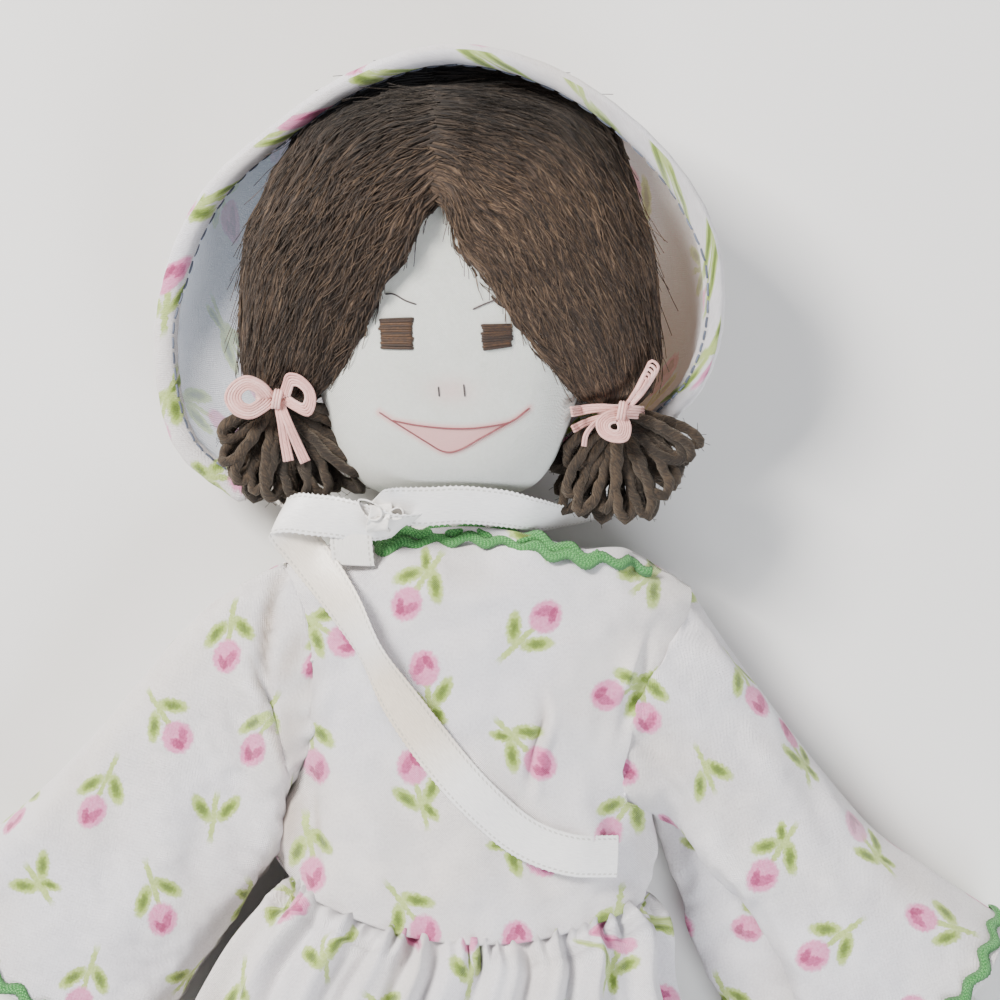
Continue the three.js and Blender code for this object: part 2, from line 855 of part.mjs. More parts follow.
// Height of the bodice's outside at a place, from its dome that rounds off into the neck
// opening and the shoulder seams
function bodiceHeight(layer, x, y, down) {
  const dome = bodiceDome(down);
  const section = Math.max(1 - Math.abs(x / dome) ** layer.squareness, 0) ** (1 / layer.squareness);
  const neck = neckShareAt(x) ** (1 / 2);
  const rounding = Math.min(Math.max(bodiceTop(x) - y, 0) / shoulderRound, 1);
  const full = (1 - (1 - rounding) ** 2) ** (1 / 2);
  const swell = full * section * bodiceDepth / 2 + (1 - full) * neck * neckOpeningDepth / 2;
  return trunkAxisZ + (1 - full) * neckRise * neck + layer.sign * (2 * seamGap + swell);
}

// A point on the outside of the bodice: across from -1 to 1 between its edges, down from 0
// at the neck and shoulder to 1 at the waist
function bodicePoint(layer, across, down) {
  const dome = bodiceDome(down);
  const free = down < underarmShare;
  const edge = free ? Math.min(shareAt(bodiceShares, down, 1) * shoulderWidth / 2, dome) : dome;
  const x = edge * Math.sin(across * Math.PI / 2);
  const dip = layer.sign > 0 ? necklineDip * neckShareAt(x) : 0;
  const y = THREE.MathUtils.lerp(bodiceTop(x) - dip, waistAt(x, layer.drop), down);
  return new THREE.Vector3(x, y, bodiceHeight(layer, x, y, down));
}

const downShares = [0, 0.035, 0.09, 0.17, 0.3, 0.46, 0.6, 0.684, 0.84, 1];

function bodicePanel(layer, from, to, steps) {
  const rows = downShares.map((down) => Array.from({ length: steps + 1 }, (_, i) => (
    bodicePoint(layer, THREE.MathUtils.lerp(from, to, i / steps), down)
  )));
  return clothSheet(rows, dressCloth, { floor: 0 });
}

addPiece('bodice_front', bodicePanel(bodiceFront, 1, -1, 16), 'print');
const [backEdge, backStart] = [-1, 1].map((side) => (
  2 / Math.PI * Math.asin((backLap + side * seamGap / 2) / (bodiceWaist / 2))
));
addPiece('bodice_back_right', bodicePanel(bodiceBack, -1, backEdge, 9), 'print');
addPiece('bodice_back_left', bodicePanel(bodiceBack, backStart, 1, 7), 'print');

// Skirt rings: place down the length, half width as a share of the hem's, front height,
// fold depth and sideways lean, each as a share of its named size
const skirtShares = [
  [0.035, 0.44, 0.96, 0.35, 0.1],
  [0.1, 0.49, 1, 0.9, 0.8],
  [0.26, 0.62, 1, 1, 1],
  [0.5, 0.8, 0.98, 1, 1],
  [0.78, 0.94, 0.94, 1, 1],
  [1, 1, 0.9, 1, 1],
];
const skirtStations = skirtFolds * 4;

// A rounded ring across the doll, given how square its front and its back are
function oval(halfWidth, bottom, top, front, back, count) {
  const places = Array.from({ length: 48 }, (_, i) => {
    const turn = i / 48 * 2 * Math.PI;
    const cos = Math.cos(turn);
    const sin = Math.sin(turn);
    const power = 2 / (sin > 0 ? front : back);
    return new THREE.Vector3(
      Math.sign(cos) * Math.abs(cos) ** power * halfWidth,
      0,
      (bottom + top) / 2 + Math.sign(sin) * Math.abs(sin) ** power * (top - bottom) / 2,
    );
  });
  return evenRing(places, count);
}

function waistRing(count) {
  const places = [];
  const steps = 20;
  for (let i = 0; i < steps; i += 1) places.push(bodicePoint(bodiceFront, 1 - 2 * i / steps, 1));
  for (let i = 0; i < steps; i += 1) places.push(bodicePoint(bodiceBack, -1 + 2 * i / steps, 1));
  places.forEach((place) => {
    place.y -= clear + seamGap;
  });
  return evenRing(places, count);
}

function skirtRows() {
  const rows = [waistRing(skirtStations)];
  for (const [down, width, height, fold, lean] of skirtShares) {
    const halfWidth = width * skirtHemWidth / 2;
    const top = height * skirtFrontZ;
    const ring = oval(halfWidth, skirtFloor, top, frontSquareness, backSquareness, skirtStations);
    rows.push(ring.map((point, i) => {
      const across = Math.min(Math.abs(point.x) / (bodiceWaist / 2), 1);
      const drop = point.z > trunkAxisZ ? waistDrop : waistBackDrop;
      const y = waistY - drop * (1 - across ** 2) * (1 - down) - down * (skirtLength + waistDrop / 2);
      const room = Math.min((point.z - skirtFloor) / skirtFoldDepth, 1);
      const swing = Math.sin(i * Math.PI / 2) * skirtFoldDepth / 2 * fold * room;
      const away = new THREE.Vector3(point.x / halfWidth, 0, (point.z - trunkAxisZ) / trunkAxisZ).normalize();
      return new THREE.Vector3(point.x + lean * skirtLean, y, point.z).addScaledVector(away, swing);
    }));
  }
  return rows;
}

const skirt = skirtRows();
addPiece('skirt', clothSheet(skirt, dressCloth, { closed: true, floor: skirtFloor }), 'print');

// Sleeves. Each row gives, for one ring from the armhole to the hem: how far down the arm
// its outer end, its inner end and the sag between them lie, as shares of the sleeve's
// length; its outer and inner edges, as shares of its span; its height; and its tuck
const sleeveRowShares = {
  left: [
    [0.06, 0.33, 0, 0.213, -0.42, 1, 0.2],
    [0.27, 0.46, 0.02, 0.21, -0.444, 0.95, 0.5],
    [0.46, 0.58, 0.06, 0.213, -0.46, 0.9, 0.8],
    [0.65, 0.64, 0.13, 0.234, -0.48, 0.83, 1],
    [0.82, 0.7, 0.22, 0.32, -0.5, 0.76, 1],
  ],
  right: [
    [0.1, 0.33, 0, 0.34, -0.35, 1, 0],
    [0.27, 0.46, 0.02, 0.375, -0.44, 0.94, 0],
    [0.46, 0.58, 0.06, 0.39, -0.455, 0.88, 0],
    [0.67, 0.68, 0.13, 0.43, -0.46, 0.82, 0],
    [0.86, 0.76, 0.2, 0.5, -0.48, 0.76, 0],
  ],
};
const sleeveStations = 32;

// One ring of the sleeve as places across and up: over the front from the outer edge to the
// inner edge, round the tuck there, and back underneath
function sleeveSection(outer, inner, height, tuck) {
  const mid = skirtFloor + height / 2;
  const up = (share) => skirtFloor + share * height;
  const width = outer - inner;
  return [
    [outer, mid],
    [outer - 0.07 * width, up(0.88)],
    [outer - 0.3 * width, up(1)],
    [outer - 0.7 * width, up(0.98)],
    [inner + 0.08 * width, up(0.86)],
    [inner, up(0.62)],
    [inner + tuck * tuckDepth, up(0.44)],
    [inner - tuck * tuckStep / 2, up(0.32)],
    [inner - tuck * tuckStep, up(0.14)],
    [inner + 0.12 * width - tuck * tuckStep / 2, up(0)],
    [outer - 0.5 * width, up(0)],
    [outer - 0.12 * width, up(0)],
    [outer - 0.03 * width, up(0.22)],
  ];
}

const armholeShares = [0.02, 0.1, 0.22, 0.36, 0.5, 0.62];

function armholeRing(sign) {
  const front = armholeShares.map((down) => bodicePoint(bodiceFront, sign, down));
  const back = armholeShares.map((down) => bodicePoint(bodiceBack, sign, down)).reverse();
  const tip = bodicePoint(bodiceFront, sign, 0).add(bodicePoint(bodiceBack, sign, 0)).divideScalar(2);
  const under = bodicePoint(bodiceFront, sign, underarmShare);
  const places = [tip, ...front, under, ...back];
  places.forEach((place) => {
    place.x += sign * seamGap * 2;
  });
  return evenRing(places, sleeveStations);
}

function sleeveRows({ name, sign, armAngle }) {
  const down = new THREE.Vector3(Math.sin(armAngle), -Math.cos(armAngle), 0);
  const outward = new THREE.Vector3(Math.cos(armAngle), Math.sin(armAngle), 0).multiplyScalar(sign);
  const pivot = new THREE.Vector3(sign * armPivotX, armPivotY, 0);
  const rows = [armholeRing(sign)];
  for (const [outerDown, innerDown, sag, outer, inner, height, tuck] of sleeveRowShares[name]) {
    const section = sleeveSection(outer * sleeveSpan, inner * sleeveSpan, height * sleeveHeight, tuck);
    const places = section.map(([across, up]) => {
      const part = (outer * sleeveSpan - across) / (outer - inner) / sleeveSpan;
      const along = THREE.MathUtils.lerp(outerDown, innerDown, part) + sag * 4 * part * (1 - part);
      return pivot.clone()
        .addScaledVector(down, along * sleeveLength)
        .addScaledVector(outward, across)
        .setZ(up);
    });
    rows.push(evenRing(places, sleeveStations));
  }
  if (sign < 0) rows.forEach((row) => row.reverse());
  return rows;
}

for (const side of sides) {
  const rows = sleeveRows(side);
  addPiece(`sleeve_${side.name}`, clothSheet(rows, dressCloth, { closed: true, floor: skirtFloor }), 'print');
  addPiece(`sleeve_rickrack_${side.name}`, rickrack(hemStations(rows, 0.8), true), 'braid');
}
addPiece('skirt_rickrack', rickrack(hemStations(skirt, 0.85), true), 'braid');

// Braid round the neck opening, from its raw end on the left shoulder over the front and
// back along the nape
const neckBraidShares = [0.575, -0.36];
const neckBraidDown = 0.03;

function neckStations() {
  const [end, turn] = neckBraidShares;
  const count = Math.round(neckOpeningWidth / rickrackPitch) * 2;
  const onLayer = (layer, from, to) => Array.from({ length: count }, (_, i) => {
    const across = THREE.MathUtils.lerp(from, to, (i + 1 / 2) / count);
    const point = bodicePoint(layer, across, neckBraidDown);
    const side = bodicePoint(layer, across - layer.sign * probeShare, neckBraidDown).sub(point);
    const along = bodicePoint(layer, across, neckBraidDown + probeShare).sub(point).normalize();
    return { point, along, outward: side.cross(along).normalize() };
  });
  const front = onLayer(bodiceFront, end, turn);
  const seam = {
    point: front[front.length - 1].point.clone().setY(necklineY + clear).setZ(trunkAxisZ),
    along: new THREE.Vector3(-1, 0, 0),
    outward: new THREE.Vector3(0, 1, 0),
  };
  return [...front, seam, ...onLayer(bodiceBack, turn, end)];
}

addPiece('neck_rickrack', rickrack(neckStations(), false), 'braid');

// Pantaloons: a seat round the hips and a gathered leg on each side
const pantaloonShares = [
  [-0.02, 0.98, 1],
  [0.18, 1, 1],
  [0.5, 0.94, 0.96],
  [0.8, 0.84, 0.86],
  [0.94, 0.66, 0.7],
  [1, 0.92, 0.84],
];
const seatWidthShare = 0.95;
const seatShares = [0.26, 0.345, 0.43];

function tube(rings, squareness, count) {
  const rows = rings.map(({ y, halfWidth, top }) => (
    oval(halfWidth, pantaloonFloor, top, squareness, squareness, count).map((point) => point.setY(y))
  ));
  return clothSheet(rows, fineCloth, { closed: true, floor: pantaloonFloor });
}

function makeSeat() {
  return tube(seatShares.map((share) => ({
    y: waistY + share * (hipY - waistY) * 3 / 2,
    halfWidth: seatWidthShare * torsoWidth / 2,
    top: 2 * trunkAxisZ - pantaloonFloor,
  })), torsoSquareness, 28);
}

for (const { name, sign } of sides) {
  const leg = tube(pantaloonShares.map(([down, width, depth]) => ({
    y: -down * pantaloonLength,
    halfWidth: width * pantaloonWidth / 2,
    top: pantaloonFloor + 2 * depth * pantaloonReach,
  })), pantaloonSquareness, 18);
  leg.translate(0, 0, -legAxisZ);
  const mesh = addPiece(`pantaloon_${name}`, leg, 'calico');
  mesh.position.set(sign * hipSpacing / 2, hipY, legAxisZ);
  mesh.rotation.z = sign * legSpread;
}
addPiece('pantaloon_seat', makeSeat(), 'calico');

// Satin ribbon ties. Each row is a place on the ribbon's middle and the direction of its
// width; a place on the bodice takes its height from the bodice
function ribbonRows(stations, count) {
  const middle = new THREE.CatmullRomCurve3(stations.map(([x, y, z]) => new THREE.Vector3(x, y, z)));
  const width = new THREE.CatmullRomCurve3(stations.map((row) => new THREE.Vector3(...row.slice(3))));
  return Array.from({ length: count + 1 }, (_, i) => {
    const place = middle.getPoint(i / count);
    const half = width.getPoint(i / count).setLength(ribbonWidth / 2);
    return [1, 0, -1].map((side) => place.clone().addScaledVector(half, side));
  });
}

const chinStrapRoute = [
  [36.5, 5.2, -6.5, 0, 0.9, 0.4],
  [31.5, 2.8, -1, 0, 0.6, 0.8],
  [26, 1, 5, 0, 0.5, 0.85],
  [19, 1.2, 13, 0, 0.8, 0.6],
  [11, 2.7, 17.5, 0, 0.9, 0.43],
  [1, 3.6, 19.8, 0, 0.9, 0.43],
  [-8, 3.2, 20, 0, 0.92, 0.4],
  [-13, 2.9, 19.4, 0, 0.94, 0.35],
];
const sideStrapRoute = [
  [-45, 9, -8, 0, 0.85, 0.5],
  [-38, 2, -5, 0, 0.3, 0.95],
  [-30, -1.8, 2, 0, 0.2, 0.98],
  [-24.5, -1.6, 9, 0, 0.25, 0.96],
  [-20.5, 0, 13, 0, 0.4, 0.9],
];

addPiece('ribbon_chin_strap', clothSheet(ribbonRows(chinStrapRoute, 20), ribbonThickness), 'satin', headGroup);
addPiece('ribbon_side_strap', clothSheet(ribbonRows(sideStrapRoute, 12), ribbonThickness), 'satin', headGroup);

const knotShares = [
  [0, 0, 0],
  [0.1, 0.6, 0.55],
  [0.35, 0.95, 1],
  [0.65, 1, 0.9],
  [0.9, 0.62, 0.5],
  [1, 0, 0],
];
const knotLength = 8;
const knotPlace = [-14, 2.6, 19.4];

function makeKnot() {
  const form = stuffedForm({
    length: knotLength,
    width: ribbonWidth,
    depth: ribbonWidth / 2,
    shares: knotShares,
    sides: 12,
    rings: 7,
  });
  form.rotateZ(Math.PI / 2);
  return form;
}

const knot = addPiece('ribbon_knot', makeKnot(), 'satin', headGroup);
knot.position.set(...knotPlace);

// The ribbon's two ends, each a place and the direction of its width, lie no lower than the
// bodice's outside
const longEndRoute = [
  [-29.4, 53, 39.6, 0, 1, 0.1],
  [-34.5, 52, 39.4, 0, 1, 0],
  [-41, 52, 38.8, 0.1, 1, 0],
  [-46, 52.2, 37.8, 0.25, 0.95, 0],
  [-49.2, 51, 36, 0.41, 0.91, 0],
  [-47.5, 48.5, 34.4, 0.55, 0.8, 0],
  [-44, 45, 34, 0.7, 0.7, 0],
  [-39.8, 40.3, 35, 0.75, 0.66, 0],
  [-32.3, 32.4, 37, 0.82, 0.57, 0],
  [-25.4, 21, 38, 0.85, 0.53, 0],
  [-17.7, 9.2, 39, 0.82, 0.57, 0],
  [-8.1, -2.8, 39, 0.74, 0.67, 0],
  [1.9, -12.9, 39, 0.68, 0.73, 0],
  [12.9, -21.2, 38, 0.5, 0.86, 0],
  [23.6, -24.6, 37, 0.16, 0.98, 0],
  [35, -24.8, 34, 0, 1, 0],
];
const shortEndRoute = [
  [-25.2, 48.6, 39, 0.54, -0.84, 0],
  [-29, 46.2, 38.6, 0.54, -0.84, 0],
  [-33.5, 43.5, 37.6, 0.5, -0.86, 0],
];

function bodiceFrontHeight(x, y) {
  const top = bodiceTop(x) - necklineDip * neckShareAt(x);
  const down = (top - y) / (top - waistAt(x, bodiceFront.drop));
  return bodiceHeight(bodiceFront, x, y, Math.min(Math.max(down, 0), 1));
}

function ribbonEnd(route, count) {
  const rows = ribbonRows(route, count);
  rows.forEach((row) => row.forEach((point) => {
    point.z = Math.max(point.z, bodiceFrontHeight(point.x, point.y) + ribbonThickness + clear);
  }));
  return clothSheet(rows, ribbonThickness);
}

addPiece('ribbon_long_end', ribbonEnd(longEndRoute, 46), 'satin');
addPiece('ribbon_short_end', ribbonEnd(shortEndRoute, 6), 'satin');

export default doll;
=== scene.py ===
# %% [markdown]
# # A cloth rag doll in a sun bonnet
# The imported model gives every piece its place. This file sews the looks on top of it: stuffed
# muslin, brushed yarn hair, a sprigged cotton dress, braid and a satin ribbon.

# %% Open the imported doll
import math
from functools import partialmethod

import bmesh
import bpy
import numpy as np
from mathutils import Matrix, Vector
from mathutils.bvhtree import BVHTree


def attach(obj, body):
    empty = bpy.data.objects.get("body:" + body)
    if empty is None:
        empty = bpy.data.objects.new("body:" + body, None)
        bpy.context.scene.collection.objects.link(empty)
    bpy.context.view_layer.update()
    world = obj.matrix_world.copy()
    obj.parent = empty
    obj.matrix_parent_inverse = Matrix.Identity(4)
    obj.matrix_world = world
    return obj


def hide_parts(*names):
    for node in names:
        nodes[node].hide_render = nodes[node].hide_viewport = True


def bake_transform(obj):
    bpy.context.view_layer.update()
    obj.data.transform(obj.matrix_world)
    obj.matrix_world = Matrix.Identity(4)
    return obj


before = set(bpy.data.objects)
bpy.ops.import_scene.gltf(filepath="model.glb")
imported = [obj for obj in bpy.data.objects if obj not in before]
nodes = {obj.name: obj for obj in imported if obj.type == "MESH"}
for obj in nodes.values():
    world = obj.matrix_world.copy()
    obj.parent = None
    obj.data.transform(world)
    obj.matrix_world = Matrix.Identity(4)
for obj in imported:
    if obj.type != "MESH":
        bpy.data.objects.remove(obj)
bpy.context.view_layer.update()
bpy.ops.object.select_all(action="DESELECT")

# %% [markdown]
# All the sizes below are in millimetres, as a dressmaker would write them, and turn into metres
# when a mesh is made. The head leans 3 degrees on the trunk, so a place on the head is turned
# and carried up to the neck. `seen_at` gives the doll's millimetres for a place measured on the
# photograph, where one pixel is 0.235 mm.

# %% Places on the doll and on its head
MM = 0.001
PIXEL = 0.235
PHOTO_ORIGIN = (475, 745)
LEAN = math.radians(3)
NECK = np.array([-6.7, 52.5, 21.8])
HEM_FLOOR = 2.1
HEAD_MIDDLE = np.array([-2.2, 57.5])
SHOULDER = np.array([44.5, 23, 15])
HIP = np.array([20, -87.5, 20.4])
SIDES = {"right": -1, "left": 1}
ARM_ANGLE = {"right": math.radians(-34), "left": math.radians(40)}
LEG_SPREAD = math.radians(2.5)


def leaned(x, y):
    return x * math.cos(LEAN) - y * math.sin(LEAN), x * math.sin(LEAN) + y * math.cos(LEAN)


def on_head(places):
    x, y, z = np.moveaxis(np.asarray(places, float), -1, 0)
    return np.stack([*leaned(x, y), z], -1) + NECK


def seen_at(places):
    px, py = np.moveaxis(np.asarray(places, float), -1, 0)
    return np.stack(leaned((px - PHOTO_ORIGIN[0]) * PIXEL, (PHOTO_ORIGIN[1] - py) * PIXEL), -1)


print("chin at", seen_at([450, 498]).round(1))

# %% [markdown]
# The photograph looks straight down on the doll from a little under a metre, with a long lens.
# It was turned 3 degrees against the trunk. A warm lamp stands high on the left and a weaker
# cool one lower at the feet, and a dim, almost white world fills the shadows.

# %% Camera and lights
CAMERA_PLACE = (0.00285, 0.0578, 0.94)
LAMP_TARGET = Vector((0, 0.04, 0))


def add_object(name, data):
    thing = bpy.data.objects.new(name, data)
    bpy.context.collection.objects.link(thing)
    return thing


def soft_lamp(name, place, width, strength, tint):
    lamp = add_object(name, bpy.data.lights.new(name, "AREA"))
    lamp.location = place
    lamp.rotation_euler = (Vector(place) - LAMP_TARGET).to_track_quat("Z", "Y").to_euler()
    lamp.data.size, lamp.data.energy, lamp.data.color = width, strength, tint


camera = add_object("camera", bpy.data.cameras.new("camera"))
camera.data.lens, camera.data.sensor_width, camera.data.clip_end = 137.9, 36, 20
camera.location = CAMERA_PLACE
camera.rotation_euler = (0, 0, LEAN)
bpy.context.scene.camera = camera
soft_lamp("key_lamp", (-0.95, 0.75, 1.05), 0.5, 62, (1, 0.965, 0.925))
soft_lamp("low_lamp", (0.7, -0.85, 0.75), 0.8, 22, (0.88, 0.93, 1))
world = bpy.context.scene.world = bpy.data.worlds.new("studio")
world.use_nodes = True
world.node_tree.nodes["Background"].inputs["Color"].default_value = (0.97, 0.97, 1, 1)
world.node_tree.nodes["Background"].inputs["Strength"].default_value = 0.52
print("camera", tuple(round(x, 3) for x in camera.location), "lens", camera.data.lens)

# %% [markdown]
# Cloth and yarn need patterns that are worked out by a material's nodes. Wiring Math nodes by
# hand is long, so `Field` lets a formula be written as sums, products and comparisons, and adds
# one node for each step. `Finish` holds a material while its patterns are made.

# %% Formulas written as nodes


def feed(tree, slot, value):
    # a wire from another node's output, or a value of its own
    if isinstance(value, Field):
        value = value.socket
    if isinstance(value, bpy.types.NodeSocket):
        tree.links.new(value, slot)
    else:
        slot.default_value = value


class Field:
    """A number that differs from place to place, which is one output of a node"""

    def __init__(self, tree, socket):
        self.tree = tree
        self.socket = socket

    def step(self, operation, *others):
        node = self.tree.nodes.new("ShaderNodeMath")
        node.operation = operation
        for slot, value in zip(node.inputs, (self, *others)):
            feed(self.tree, slot, value)
        return Field(self.tree, node.outputs[0])

    __add__ = partialmethod(step, "ADD")
    __sub__ = partialmethod(step, "SUBTRACT")
    __mul__ = partialmethod(step, "MULTIPLY")
    __truediv__ = partialmethod(step, "DIVIDE")
    power = partialmethod(step, "POWER")
    sine = partialmethod(step, "SINE")
    cosine = partialmethod(step, "COSINE")
    size = partialmethod(step, "ABSOLUTE")
    least = partialmethod(step, "MINIMUM")
    most = partialmethod(step, "MAXIMUM")
    whole = partialmethod(step, "FLOOR")

    def below(self, edge, blur):
        # 1 under the edge, 0 over it, with a soft step of the given width between
        node = self.tree.nodes.new("ShaderNodeMapRange")
        node.interpolation_type = "SMOOTHSTEP"
        for slot, value in (("Value", self), ("From Min", edge - blur / 2), ("From Max", edge + blur / 2),
                            ("To Min", 1), ("To Max", 0)):
            feed(self.tree, node.inputs[slot], value)
        return Field(self.tree, node.outputs["Result"])


def light(colour):
    # a colour as the eye sees it on the photograph, as the amount of light that it is
    return tuple(c / 12.92 if c < 0.04 else ((c + 0.055) / 1.055) ** 2.4 for c in colour)


class Finish:
    """A material in the making: its tree, its shader and the patterns that feed them"""

    def __init__(self, name, roughness, sheen=0.0, sheen_tint=(1, 1, 1)):
        self.material = bpy.data.materials.new(name)
        self.material.use_nodes = True
        self.tree = self.material.node_tree
        self.shader = self.tree.nodes["Principled BSDF"]
        self.dress(Roughness=roughness, Sheen_Weight=sheen, Sheen_Roughness=0.5, Sheen_Tint=(*sheen_tint, 1))

    def dress(self, **values):
        for slot, value in values.items():
            feed(self.tree, self.shader.inputs[slot.replace("_", " ")], value)

    def node(self, kind, inputs=(), **settings):
        node = self.tree.nodes.new("ShaderNode" + kind)
        for setting, value in settings.items():
            setattr(node, setting, value)
        for slot, value in dict(inputs).items():
            feed(self.tree, node.inputs[slot], value)
        return node

    def scaled(self, vector, by):
        return self.node("VectorMath", {0: vector, "Scale": by}, operation="SCALE").outputs[0]

    def place(self, layout="UV"):
        # millimetres along the cloth, or through the doll with layout="Object"
        return self.scaled(self.node("TexCoord").outputs[layout], 1000)

    def parts(self, vector):
        return [Field(self.tree, out) for out in self.node("SeparateXYZ", {0: vector}).outputs]

    def vector(self, x, y, z=0.0):
        return self.node("CombineXYZ", {0: x, 1: y, 2: z}).outputs[0]

    def noise(self, vector, pitch, detail=2.0, rough=0.5):
        # cloudy numbers around 0.5, one cloud about `pitch` millimetres wide
        inputs = {"Vector": vector, "Scale": 1 / pitch, "Detail": detail, "Roughness": rough}
        return Field(self.tree, self.node("TexNoise", inputs).outputs["Fac"])

    def dice(self, vector):
        # three random numbers that stay the same over each whole step of the vector
        node = self.node("TexWhiteNoise", {"Vector": vector}, noise_dimensions="3D")
        return self.parts(node.outputs["Color"])

    def attribute(self, name):
        return Field(self.tree, self.node("Attribute", attribute_name=name).outputs["Fac"])

    def ramp(self, field, stops):
        node = self.node("ValToRGB", {0: field})
        while len(node.color_ramp.elements) < len(stops):
            node.color_ramp.elements.new(0.5)
        for element, (where, colour) in zip(node.color_ramp.elements, stops):
            element.position = where
            element.color = (*light(colour), 1)
        return node.outputs[0]

    def mix(self, share, under, over):
        under, over = ((*light(colour), 1) if isinstance(colour, tuple) else colour
                       for colour in (under, over))
        return self.node("Mix", {"Factor": share, 6: under, 7: over}, data_type="RGBA").outputs[2]

    def done(self, colour, height=None, lift=0.1):
        # the material with its colour, and with bumps that stand up by `lift` millimetres
        self.dress(Base_Color=colour)
        if height is not None:
            bump = self.node("Bump", {"Distance": lift * MM, "Strength": 1, "Height": height})
            self.dress(Normal=bump.outputs[0])
        return self.material


print("formula nodes ready")

# %% [markdown]
# Woven cotton is a grid of threads that go over and under each other. Its height is a product
# of two waves, and a little cloudy noise makes the threads uneven. Two threads lie in every
# 0.5 mm of the muslin and the printed cotton, and in every 0.45 mm of the plain cotton.

# %% Muslin and plain cotton


def weave(finish, x, y, pitch, place):
    across, along = (x * (math.tau / pitch)).sine(), (y * (math.tau / pitch)).sine()
    return across * along * 0.5 + finish.noise(place, pitch * 1.3, 1) * 1.2


def plain_cloth(name, pale, dark, pitch, lift, blush=False):
    finish = Finish(name, 0.88, sheen=0.25)
    place = finish.place("Object")
    x, y, z = finish.parts(place)
    height = weave(finish, x + z * 0.6, y + z * 0.6, pitch, place)
    clouds = finish.noise(place, 9, 3) * 0.6 + finish.noise(place, 0.8, 1) * 0.4
    colour = finish.ramp(clouds, [(0.3, dark), (0.7, pale)])
    if blush:
        colour = finish.mix(finish.attribute("blush"), colour, (0.93, 0.62, 0.61))
    return finish.done(colour, height, lift)


MUSLIN_TONES = (0.93, 0.935, 0.905), (0.885, 0.89, 0.855)
muslin = plain_cloth("muslin", *MUSLIN_TONES, 0.5, 0.12)
face_muslin = plain_cloth("face_muslin", *MUSLIN_TONES, 0.5, 0.24, blush=True)
calico = plain_cloth("calico", (0.95, 0.948, 0.94), (0.915, 0.912, 0.9), 0.45, 0.08)
print("muslin and calico")

# %% [markdown]
# The dress and bonnet are printed with small rosebud sprigs, scattered about 25 mm apart and
# turned every way. Each sprig lives in its own square of the cloth. White noise on the square's
# number turns it, nudges it and sometimes leaves out the bud. The bud and the leaves are
# ellipses measured from the sprig's own middle, and the stem is a short bent bar. A number
# painted on a mesh adds painted shade: it turns the cloth to the tan of a fold's shadow.

# %% Sprigged cotton
SPRIG = 25.5
SPRIG_SCALE = 1.14
# the middle, turn, half length and half width of each ellipse
BUD = [((0, 5.6), 0, 3.2, 3.7), ((0.9, 6.2), 0.5, 1.0, 2.1), ((-0.9, 6.9), -0.4, 0.8, 1.7)]
LEAVES = [((-2.9, 0.4), 2.2, 3.6, 1.6), ((2.8, -0.8), 0.85, 3.7, 1.6), ((-1.7, -4.0), 1.0, 2.7, 1.2)]


def ellipse(x, y, middle, turn, long, short):
    # under 1 inside the ellipse, over 1 outside it
    cos, sin = math.cos(turn), math.sin(turn)
    dx, dy = x - middle[0], y - middle[1]
    along = (dx * cos + dy * sin) / long
    across = (dy * cos - dx * sin) / short
    return (along * along + across * across).power(0.5)


